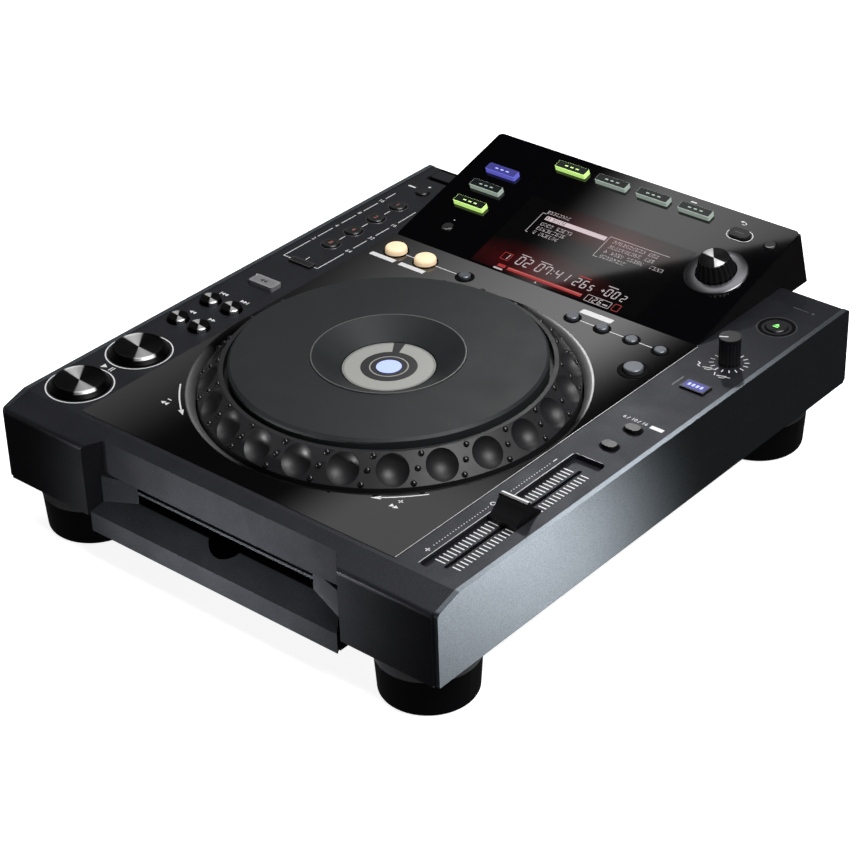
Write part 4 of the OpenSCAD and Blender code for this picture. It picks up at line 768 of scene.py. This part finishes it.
class DISC_PLAYER_OT_prints(Operator):
    """Prints the lines, rings, symbols and numerals on the deck and the plate"""
    bl_idname = "disc_player.prints"
    bl_label = "Print Deck"

    def execute(self, context):
        settings = context.scene.disc_player_prints
        self.key_rings(settings.ring)
        self.left_column(settings.line)
        self.plate(settings.line)
        self.right_column(settings.line)
        return {"FINISHED"}

    def key_rings(self, width):
        flat = Flat(deck)
        for centre in (PLAY, CUE):
            flat.ring(centre, KEY_RING - width / 2, KEY_RING + width / 2, steps=96)
        flat.make("key_rings", ["printed_ink"])

    def left_column(self, line):
        flat = Flat(deck)
        flat.path([(-144, 237.2), (-144, 214.2), (-138.6, 214.2)], line)
        flat.upright(-144, line, 243.9, 257.1, 264.9, 278.1, 285.1, 298.2, 305.5, 314.5)
        flat.path([(-119.6, 213.9), (-117, 213.9), (-117, 236.7)], line)
        flat.upright(-117, line, 245.2, 257.3, 265.3, 277.4)
        flat.line((-117, 285.8), (-117.6, 302.5), line)
        for y in (251.15, 271.45, 291.75):
            flat.upright(-131, line, y - 2.6, y + 2.6)
        flat.upright(-130, line, 218.0, 221.5)
        for x, y, text in (
                (-144.2, 240.6, "2"), (-144.2, 261, "4"), (-144.2, 281.6, "8"), (-144.2, 301.8, "16"),
                (-117, 241, "64"), (-117, 261.3, "32"), (-117, 281.6, "16")):
            flat.numeral(text, (x, y), 4.2)
        for y, bars in ((SEARCH_Y + 11, False), (TRACK_Y + 11, True)):
            for side in (-1, 1):
                x = -131 + side * 7.5
                for k in (0, 1):
                    flat.triangle((x + side * (2.6 - 2.4 * k), y), 0 if side > 0 else 180, 2.4)
                if bars:
                    flat.upright(x + side * 3.0, 0.6, y - 1.4, y + 1.4)
        flat.triangle((-132.5, 60.6), 0, 3.6)
        for x in (-129.8, -128.2):
            flat.upright(x, 0.7, 58.6, 62.6)
        flat.disc((-139.9, 187.4), 0.9)
        flat.disc((-132.4, 333.4), 0.85)
        flat.bar((-142.0, 327.9), 5.5, 1.4)
        flat.upright(-139.9, 1.2, 186.0, 179.6, slot=1)
        flat.make("left_column_print", ["printed_ink", "lamp_off"])

    def plate(self, line):
        flat = Flat(deck, PLATE)
        for x in (-95.8, -73.5):
            flat.bar((x, 247.4), 18.6, 3.6)
        flat.level(257.5, line, -86.6, -79.2, -64.3, -47.4)
        flat.bar((45.8, 267.0), 21.5, 4.6, 0.9)
        flat.level(257.5, line, 41.3, 51.2, 61.8, 71.4, 81.7, 90.8)
        for r, start, stop, tip, lean in ((112.7, 218.9, 233.0, 235.4, 90), (112.4, -51.6, -38.9, -54, -90)):
            flat.ring(JOG, r - 0.4, r + 0.4, start, stop, 0, 24)
            flat.triangle(polar(JOG, r, radians(tip)), tip + lean, 5.5, half=0.27)
        flat.level(57.2, 0.6, -82.2, -79.4)
        flat.level(58.8, 0.6, 79.0, 82.0)
        flat.upright(80.5, 0.6, 57.3, 60.3)
        for angle, side in ((180, -1), (0, 1)):
            for k in (0, 1):
                flat.triangle((side * (83.5 - 2.6 * k), 53.4), angle, 2.6)
        flat.make("plate_print", ["printed_ink"])
        # A pale line along the plate's right edge: a painted highlight of its bevelled edge.
        edge = Flat(deck, PLATE)
        edge.upright(109.75, 0.45, 20.6, 273.5)
        edge.make("plate_edge_painted_highlight", ["bright_edge"])

    def right_column(self, line):
        flat = Flat(deck)
        for k in range(21):
            for start in (40.3, 89.9):
                flat.disc((117.7, start + k * 2.09), 0.36, 0, 6)
        flat.ring((117.7, 85.9), 1.0, 1.6, steps=20)
        flat.level(35.6, line, 116.2, 119.2)
        flat.upright(117.7, line, 34.1, 37.1, 134.6, 137.8)
        for k in range(16):
            a = radians(22.5 * k + 11.25)
            flat.line(polar(SPEED, 8.2, a), polar(SPEED, 10.9, a), 0.6)
        for points, width in (
                ([(118.6, 261.2), (120.6, 260.6), (120.2, 258.2), (122.2, 257.6)], line),
                ([(123.6, 258.0), (128.6, 259.9)], line),
                ([(125.4, 256.9), (127.8, 257.4), (129.0, 259.2), (131.2, 259.7)], 0.5),
                ([(132.2, 257.4), (133.6, 254.6)], line), ([(134.6, 255.2), (139.6, 257.1)], line),
                ([(136.4, 254.2), (138.8, 254.7), (140.0, 256.5), (142.2, 257.0)], 0.5)):
            flat.path(points, width)
        for x, text in ((120.6, "6"), (126.6, "10"), (133.4, "16")):
            flat.numeral(text, (x, 192.0), 3.6)
        for x in (123.0, 129.8):
            flat.line((x - 0.5, 190.8), (x + 0.5, 193.2), 0.4)
        flat.bar((141.3, 191.6), 8.0, 2.9)
        flat.upright(121.5, 1.2, 243.6, 232.2, slot=1)
        flat.level(342.2, 0.5, 126.5, 136.5, slot=2)
        flat.disc((139.5, 342.2), 0.8, 2)
        # A near-black ring round the eject key: painted shade of its gap.
        flat.ring(EJECT, 8.4, 10.6, steps=48, slot=3)
        flat.ring(EJECT, 10.6, 11.4, steps=48, slot=1)
        # Near-black frames round the tempo keys: painted shade of the gaps round them.
        for name in ("tempo_range_key", "tempo_lock_key"):
            low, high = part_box(name)
            place = ((low[0] + high[0]) / 2 / MM, ((low[1] + high[1]) / 2 - FRONT) / MM)
            flat.frame(place, 11.6, 9.0, 4.5, 1.2, 3)
        flat.make("right_column_print", ["printed_ink", "lamp_off", "dim_ink", "key_well"])


class DISC_PLAYER_OT_caps(Operator):
    """Adds windows, numerals and symbols to the keys, each riding on its key"""
    bl_idname = "disc_player.caps"
    bl_label = "Mark Keys"

    def execute(self, context):
        self.windows()
        self.display_marks()
        self.deck_marks()
        return {"FINISHED"}

    def windows(self):
        """A dark window and a lit mark on each key of the display."""
        lift = TOP["lit_key"]
        marks = {"network_source_key": "lamp_blue", "disc_source_key": "green_key", "browse_key": "green_key"}
        for node, u, v in (
                ("network_source_key", SOURCE_X, 73), ("media_source_key", SOURCE_X, 57),
                ("disc_source_key", SOURCE_X, 41), ("browse_key", -45, MENU_V),
                ("tag_list_key", -15.2, MENU_V), ("info_key", 14.7, MENU_V), ("menu_key", 44.5, MENU_V)):
            mark = marks.get(node, "clear_key")
            flat = Flat(display, lift)
            flat.bar((u - 0.1, v + 0.15), 21.5, 5.5, 0.6)
            flat.make(node + "_window", ["blue_inlay" if mark == "lamp_blue" else "key_inlay"], node)
            flat = Flat(display, lift, 2)
            for k in (-1, 0, 1):
                flat.bar((u + 4.0 * k, v), 2.2, 0.9, 0.2)
            flat.make(node + "_mark", [mark], node)

    def display_marks(self):
        flat = Flat(display, TOP["back_key"])
        flat.level(87.1, 0.5, 75.6, 81.8)
        flat.make("back_key_mark", ["dim_ink"], "back_key")
        for node, x, y in (("tag_track_key", 99.3, 87.1), ("time_mode_key", -83.7, 18.7)):
            flat = Flat(display, TOP["small_key"])
            # A pale arc on the rim of each small key, at its lower right: a painted highlight.
            flat.ring((x, y), 2.4, 2.8, 250, 350, 0, 12)
            flat.make(node + "_mark", ["bright_edge"], node)

    def deck_marks(self):
        for k, text in enumerate("8421"):
            flat = Flat(deck, TOP["loop_key"])
            flat.ring(LOOP_KEYS[k], 4.1, 4.4, steps=32, slot=1)
            flat.numeral(text, LOOP_KEYS[k], 4.6)
            node = f"loop_key_{k + 1}"
            flat.make(node + "_numeral", ["lamp_red", "lamp_off"], node)
        flat = Flat(deck, TOP["eject_key"])
        flat.triangle((EJECT[0], 319.9), 90, 2.4, half=0.72)
        flat.level(316.4, 0.8, 129.9, 133.3)
        flat.make("eject_symbol", ["lamp_green"], "eject_key")
        flat = Flat(deck, TOP["direction_key"])
        for x in (-131.6, -129.0):
            flat.triangle((x, 181.3), 180, 2.6)
        flat.frame((-128, 181.3), 17.2, 7.4, 1.2, 0.35, 1)
        flat.make("direction_symbol", ["lamp_off", "bright_edge"], "direction_key")
        flat = Flat(deck, TOP["flat_key"])
        flat.bar(JOG_MODE, 13.4, 7.2, 0.6)
        flat.make("jog_mode_window", ["blue_inlay"], "jog_mode_key")
        flat = Flat(deck, TOP["flat_key"], 2)
        for k in (-1.5, -0.5, 0.5, 1.5):
            flat.bar((JOG_MODE[0] + 2.6 * k, JOG_MODE[1]), 1.5, 2.6, 0.2)
        flat.make("jog_mode_mark", ["lamp_blue"], "jog_mode_key")
        flat = Flat(deck, TOP["flat_key"])
        flat.frame((-128.6, 213.2), 16.2, 4.6, 0.4, 0.3)
        flat.make("beat_select_mark", ["dim_ink"], "beat_select_key")


class DISC_PLAYER_OT_screen(Operator):
    """Draws the lit screen behind the display's cover: bars, a list and figures"""
    bl_idname = "disc_player.screen"
    bl_label = "Draw Screen"

    def execute(self, context):
        glass = Flat(display)
        glass.bar((6, 33), 118, 62, 0.5)
        glass.make("screen_glass", ["screen_glass"])
        rng = random.Random(7)
        self.picture(rng)
        rows = Flat(display, layer=3)
        rows.dots((-33.5, 49.8), 9, 0.40, rng, 3)
        rows.level(5.6, 0.5, -27.5, 25.5, slot=1)
        rows.make("screen_rows", ["screen_dark", "lamp_red"])
        self.cover_marks()
        return {"FINISHED"}

    def picture(self, rng):
        """The list and the figures, in slots for text, bars and red."""
        flat = Flat(display, layer=2)
        flat.path([(-36.6, 36.2), (-38.2, 36.2), (-38.2, 54.0), (-35.6, 54.0)], 0.4)
        flat.dots((-36.0, 54.6), 8, 0.42, rng)
        for v, letters in ((44.2, 10), (40.2, 9), (36.2, 8)):
            flat.dots((-33.5, v), letters, 0.46, rng)
        flat.bar((-12.0, 51.0), 44.0, 3.4, 0.2, 1)
        flat.path([(14.6, 36.0), (11.4, 36.0), (11.4, 53.8), (53.0, 53.8)], 0.4)
        for v, letters in ((49.4, 14), (45.0, 14), (40.6, 18), (36.2, 8)):
            flat.dots((15.4, v), letters, 0.46, rng)
        flat.frame((-34.5, 13.2), 6.4, 6.2, 0.8, 0.4, 2)
        for text, start, height, pitch, width in (
                ("1", (-35.8, 11.0), 4.6, 5.0, 0.6), ("02", (-26.6, 10.4), 6.6, 5.6, 0.75),
                ("07:41", (-12.6, 10.4), 6.6, 5.6, 0.75), ("26", (14.6, 10.4), 6.0, 5.4, 0.75),
                ("5", (25.6, 10.4), 4.4, 4.2, 0.65), ("+00", (33.0, 11.0), 5.6, 5.0, 0.7),
                ("2", (48.0, 11.0), 4.6, 4.4, 0.6)):
            flat.counter(text, start, height, pitch, width)
        for u, w in ((-23.5, 7), (-9.0, 8), (39.0, 7)):
            flat.bar((u, 18.6), w, 0.6, 0.2)
        flat.bar((19.0, 18.4), 9, 0.8, 0.2, 2)
        flat.frame((37.4, 5.2), 17.2, 5.4, 0.6, 0.35)
        flat.counter("126", (30.4, 3.4), 3.6, 3.6, 0.5)
        flat.bar((42.8, 4.4), 3.4, 0.9, 0.2)
        flat.frame((50.0, 5.4), 4.8, 5.6, 0.8, 0.4, 2)
        for centre, w, d, slot in (
                ((-1.0, 5.1), 53.4, 2.5, 2), ((-32.2, 5.4), 5.4, 2.3, 2), ((-33.0, 2.6), 6.4, 1.3, 0)):
            flat.bar(centre, w, d, 0.3, slot)
        flat.triangle((-5.3, 3.3), 90, 1.5)
        flat.make("screen_picture", ["screen_text", "screen_bar", "screen_red"])

    def cover_marks(self):
        flat = Flat(display)
        flat.frame((78.7, 87.1), 16.8, 9.6, 4.8, 0.5)
        flat.path([(73.4, 97.4), (76.2, 97.4), (77.4, 96.4), (76.2, 95.4), (74.6, 95.4)], 0.45)
        flat.triangle((72.6, 97.4), 180, 1.8)
        flat.bar((38.4, 99.8), 4.2, 1.0, 0.2)
        flat.disc((-83.7, 25.6), 0.45, 0, 10)
        flat.make("cover_print", ["printed_ink"])


class DISC_PLAYER_OT_controls(Operator):
    """Adds the slider's comb and line, the knob's pointer and the selector's ring and face"""
    bl_idname = "disc_player.controls"
    bl_label = "Mark Controls"

    def execute(self, context):
        comb = Flat(deck, -3)
        count = 36
        for k in range(count):
            comb.level(35.0 + 101.5 * k / (count - 1), 0.75, 123.0, 129.2, 133.8, 140.0)
        comb.make("slider_comb", ["printed_ink"])
        rim = Flat(deck)
        rim.upright(121.2, 0.5, 24.6, 147.0)
        rim.level(148.0, 0.35, 122.0, 139.0, slot=1)
        rim.make("slider_rim", ["bright_edge", "lamp_off"])
        cap = Flat(deck, TOP["tempo_slider"])
        cap.bar((131.5, 86.5), 16.6, 1.1, 0.2)
        cap.make("slider_line", ["printed_ink"], "tempo_slider")
        pointer = Flat(deck, TOP["speed_knob"])
        pointer.line((132.2, 269.0), (128.0, 266.6), 0.9)
        pointer.make("knob_pointer", ["printed_ink"], "speed_knob")
        place = around(display, SELECTOR)
        ring = [(12.1, 1.64), (12.6, 1.64), (17.7, 1.08), (18.0, 0.92), (18.4, 0.52)]
        lathe("selector_ring", ring, "trim_metal", place, 96)
        face = [(0.0, 11.44), (3.0, 11.44), (8.2, 11.44), (8.5, 11.3)]
        lathe("selector_face", face, "spun_selector_face", place, body="rotary_selector")
        return {"FINISHED"}


class DISC_PLAYER_OT_wells(Operator):
    """Adds the dark and bright rings round the small keys; the dark ones are painted shade of the gaps round
    the keys
    """
    bl_idname = "disc_player.wells"
    bl_label = "Ring Keys"

    def execute(self, context):
        for name, x, y, inner, outer in (
                ("reloop", -42, 257.5, 4.0, 5.8), ("call_back", 36, 257.5, 4.0, 5.2),
                ("call_forward", 56.5, 257.5, 4.0, 5.2), ("delete", 76.6, 257.5, 4.0, 5.2),
                ("memory", 96, 257.5, 4.0, 5.2), ("slip", 96.6, 232, 6.0, 8.8),
                ("loop_in", -94, 257.5, 7.0, 7.7), ("loop_out", -71.7, 257.5, 7.0, 7.7)):
            profile = [(inner, 0.0), (inner, 0.35), (inner + 0.25, 0.5)]
            profile += [(outer - 0.25, 0.5), (outer, 0.3), (outer, 0.0)]
            lathe(name + "_well", profile, "key_well", around(deck, (x, y), PLATE), 48)
        profile = [(5.7, 0.0), (5.8, 0.3), (6.2, 0.3), (6.4, 0.0)]
        for k, centre in enumerate(LOOP_KEYS):
            lathe(f"loop_key_{k + 1}_well", profile, "lamp_off", around(deck, centre), 48)
        return {"FINISHED"}


class DISC_PLAYER_OT_sockets(Operator):
    """Adds contacts and rings to the rear sockets, and frames round them and the power switch"""
    bl_idname = "disc_player.sockets"
    bl_label = "Detail Sockets"

    def execute(self, context):
        self.contacts()
        ring = [(4.2, 0.05), (5.9, 0.05), (5.9, 1.6), (4.2, 1.6)]
        sleeve = [(4.22, 1.6), (4.22, 7.9), (3.4, 8.05), (1.75, 8.05), (1.75, 0.5)]
        for x, colour in zip(AUDIO_X, ("socket_white", "socket_red")):
            place = around(rear, (x, SOCKET_Z))
            lathe(f"jack_ring_{x}", ring, colour, place, 40)
            lathe(f"jack_sleeve_{x}", sleeve, "turned_metal", place, 40)
        flat = Flat(rear, 0.01)
        for x, w, d, r, width, slot in (
                (MAINS_X, 30, 22, 2.0, 0.8, 0), (NETWORK_X, 14.4, 10.6, 0.8, 0.6, 1),
                (COMPUTER_X, 11.0, 10.2, 0.8, 0.6, 1), (SWITCH_X, 13.0, 19.0, 1.0, 0.7, 0)):
            flat.frame((x, SOCKET_Z), w, d, r, width, slot)
        flat.make("socket_frames", ["black_key", "sheet_metal"])
        return {"FINISHED"}

    def contacts(self):
        """Pins of the mains inlet and tongues of the network and computer sockets, as blocks."""
        corners = [(0, 2, 3, 1), (4, 5, 7, 6), (0, 1, 5, 4), (2, 6, 7, 3), (0, 4, 6, 2), (1, 3, 7, 5)]
        verts, faces, slots = [], [], []

        def block(x, z, depth, slot):
            start = len(verts)
            verts.extend([rear(a, b, out) for out in depth for b in z for a in x])
            faces.extend([tuple(start + i for i in face) for face in corners])
            slots.extend([slot] * 6)

        for dx, dz in ((-5.5, -2.0), (0, 2.6), (5.5, -2.0)):
            x, z = MAINS_X + dx, SOCKET_Z + dz
            block((x - 0.7, x + 0.7), (z - 2.2, z + 2.2), (-15.5, -3.0), 0)
        for k in range(8):
            x = NETWORK_X - 3.6 + k * 1.03
            block((x - 0.2, x + 0.2), (-31.6, -30.6), (-12.0, -3.0), 1)
        x = COMPUTER_X
        block((x - 2.8, x + 2.8), (-30.4, -27.6), (-10.5, -2.0), 2)
        for k in range(2):
            block((x - 1.6 + 2.4 * k, x - 0.8 + 2.4 * k), (-30.7, -30.4), (-9.0, -2.6), 1)
        finishes = ["sheet_metal", "contact_metal", "socket_white"]
        piece("socket_contacts", verts, faces, finishes, "chassis", slots)


class DISC_PLAYER_OT_stage(Operator):
    """Adds the floor, the lights, the reflector cards and the camera"""
    bl_idname = "disc_player.stage"
    bl_label = "Set Stage"

    def execute(self, context):
        settings = context.scene.disc_player_stage
        self.floor(tuple(settings.floor))
        self.sky(context.scene)
        self.lights(settings.light)
        self.cards(settings.light)
        self.camera(context.scene, settings.lens)
        context.scene.view_settings.view_transform = "Standard"
        return {"FINISHED"}

    def floor(self, colour):
        """A plain floor out to the horizon, whose own light keeps it pale, so it lights nothing else."""
        surface("floor_paper", colour, 0.9, vary=0.01, patch=3.0, grain=400.0, bump=0.02, strength=0.9,
                specular=0.0)
        mesh = bpy.data.meshes.new("floor")
        grid = bmesh.new()
        bmesh.ops.create_grid(grid, x_segments=8, y_segments=8, size=FLOOR_HALF)
        grid.to_mesh(mesh)
        grid.free()
        mesh.materials.append(FINISHES["floor_paper"])
        floor = add_object("floor", mesh)
        floor.location = (0.0, 0.0, -0.0003)
        hide(floor, "glossy diffuse shadow")

    def sky(self, scene):
        """Pale near the horizon and dark above, as in a studio."""
        world = bpy.data.worlds.new("studio")
        world.use_nodes = True
        tree = world.node_tree
        tree.nodes.clear()
        coords = add(tree, "TexCoord").outputs["Generated"]
        split = add(tree, "SeparateXYZ", {"Vector": coords})
        dark, pale = (0.02, 0.02, 0.02), (0.4, 0.4, 0.4)
        tone = ramp(tree, split.outputs["Z"], [(0.0, dark), (0.01, pale), (0.08, pale), (0.25, dark)])
        sky = add(tree, "Background", {"Color": tone, "Strength": 1.0})
        add(tree, "OutputWorld", {"Surface": sky.outputs["Background"]})
        scene.world = world

    def lights(self, power):
        """Two soft lights from above, and three narrow ones for the front edge, the deck and the side."""
        for name, place, w, d, energy in (
                ("key_light", (1.25, -0.05, 2.1), 1.4, 1.4, 60),
                ("top_light", (-0.35, 0.65, 2.2), 1.5, 1.1, 12)):
            self.light(name, "AREA", place, (0, 0, 0), energy * power, shape="RECTANGLE", size=w, size_y=d)
        for name, place, target, width, energy, radius in (
                ("brow_light", (-0.83, -1.41, -0.16), (0.01, -0.19, 0.045), 7.4, 125, 0.04),
                ("deck_light", (-0.591, 0.943, 0.978), (0.172, -0.10, 0.078), 14.0, 10, 0.05),
                ("side_light", (0.90, 0.62, -0.50), (0.1525, -0.160, 0.05), 11.8, 11, 0.04)):
            self.light(name, "SPOT", place, target, energy * power, spot_size=radians(width),
                       spot_blend=1.0, shadow_soft_size=radius)

    def light(self, name, kind, place, target, energy, **settings):
        """A light of a kind, turned to its target."""
        data = bpy.data.lights.new(name, kind)
        data.energy = energy
        for key, value in settings.items():
            setattr(data, key, value)
        obj = add_object(name, data)
        obj.location = place
        obj.rotation_euler = (Vector(target) - Vector(place)).to_track_quat("-Z", "Y").to_euler()

    def cards(self, power):
        """Reflector cards; a patch is a level and its fades, each an angle with its start and end in mm."""
        plate = (deck(0, 0, PLATE), Vector((0, 1, 0)), Vector((0, 0, 1)))
        self.card("plate_card", plate, 2.1, (
            (1.5 * power, ((90, 100, 250), (0, -150, 45), (0, 108, 55))),
            (0.42 * power, ((0, -50, -122), (90, 180, 90))),
            (0.75 * power, ((0, 27, 68), (90, 150, 60)))))
        self.card("display_card", (display(0, 0), DISPLAY_UP, DISPLAY_OUT), 1.8, (
            (1.55 * power, ((131.7, -0.5, 2.5), (0, -32, 22), (0, 200, 40))),))

    def card(self, name, plane, height, patches):
        """A card over a gloss face, scaled so that each place on it shows at its own place there."""
        origin, up, out = plane
        across = up.cross(out)
        arm = EYE - origin
        grow = height / arm.dot(out)
        centre = origin + out * height - (across * arm.dot(across) + up * arm.dot(up)) * grow
        verts = [(x * MM, y * MM, 0) for x, y in ((-170, -60), (170, -60), (170, 330), (-170, 330))]
        mesh = bpy.data.meshes.new(name)
        mesh.from_pydata(verts, [], [(0, 3, 2, 1)])
        card_glow(name, patches)
        mesh.materials.append(FINISHES[name])
        obj = add_object(name, mesh)
        size = 1 + grow
        rows = [(*(axis[i] * size for axis in (across, up, out)), centre[i]) for i in range(3)]
        obj.matrix_world = Matrix(rows + [(0, 0, 0, 1)])
        hide(obj, "camera diffuse shadow")

    def camera(self, scene, lens):
        camera = bpy.data.cameras.new("camera")
        camera.lens = lens
        camera.sensor_width = 36.0
        camera.clip_start = 0.05
        camera.clip_end = 30.0
        obj = add_object("camera", camera)
        back = CAMERA_RIGHT.cross(CAMERA_UP)
        rows = [(CAMERA_RIGHT[i], CAMERA_UP[i], back[i], EYE[i]) for i in range(3)]
        obj.matrix_world = Matrix(rows + [(0, 0, 0, 1)])
        scene.camera = obj


class DISC_PLAYER_PT_panel(Panel):
    """Lists the disc player's settings and steps"""
    bl_idname = "DISC_PLAYER_PT_panel"
    bl_label = "Disc Player"
    bl_space_type = "VIEW_3D"
    bl_region_type = "UI"
    bl_category = "Disc Player"

    def draw(self, context):
        for group in GROUPS:
            settings = getattr(context.scene, group)
            for name in settings.__annotations__:
                self.layout.prop(settings, name)
        for operator in OPERATORS:
            self.layout.operator(operator.bl_idname)


OPERATORS = (
    DISC_PLAYER_OT_case,
    DISC_PLAYER_OT_keys,
    DISC_PLAYER_OT_drive,
    DISC_PLAYER_OT_jog,
    DISC_PLAYER_OT_prints,
    DISC_PLAYER_OT_caps,
    DISC_PLAYER_OT_screen,
    DISC_PLAYER_OT_controls,
    DISC_PLAYER_OT_wells,
    DISC_PLAYER_OT_sockets,
    DISC_PLAYER_OT_stage,
)
GROUPS = {
    "disc_player_case": CaseSettings,
    "disc_player_prints": PrintSettings,
    "disc_player_jog": JogSettings,
    "disc_player_stage": StageSettings,
}


def register():
    for name, group in GROUPS.items():
        bpy.utils.register_class(group)
        setattr(bpy.types.Scene, name, PointerProperty(type=group))
    for cls in (*OPERATORS, DISC_PLAYER_PT_panel):
        bpy.utils.register_class(cls)


def unregister():
    for cls in (DISC_PLAYER_PT_panel, *reversed(OPERATORS)):
        bpy.utils.unregister_class(cls)
    for name, group in GROUPS.items():
        delattr(bpy.types.Scene, name)
        bpy.utils.unregister_class(group)


def main():
    register()
    for operator in OPERATORS:
        group, name = operator.bl_idname.split(".")
        getattr(getattr(bpy.ops, group), name)()


if __name__ == "__main__":
    main()
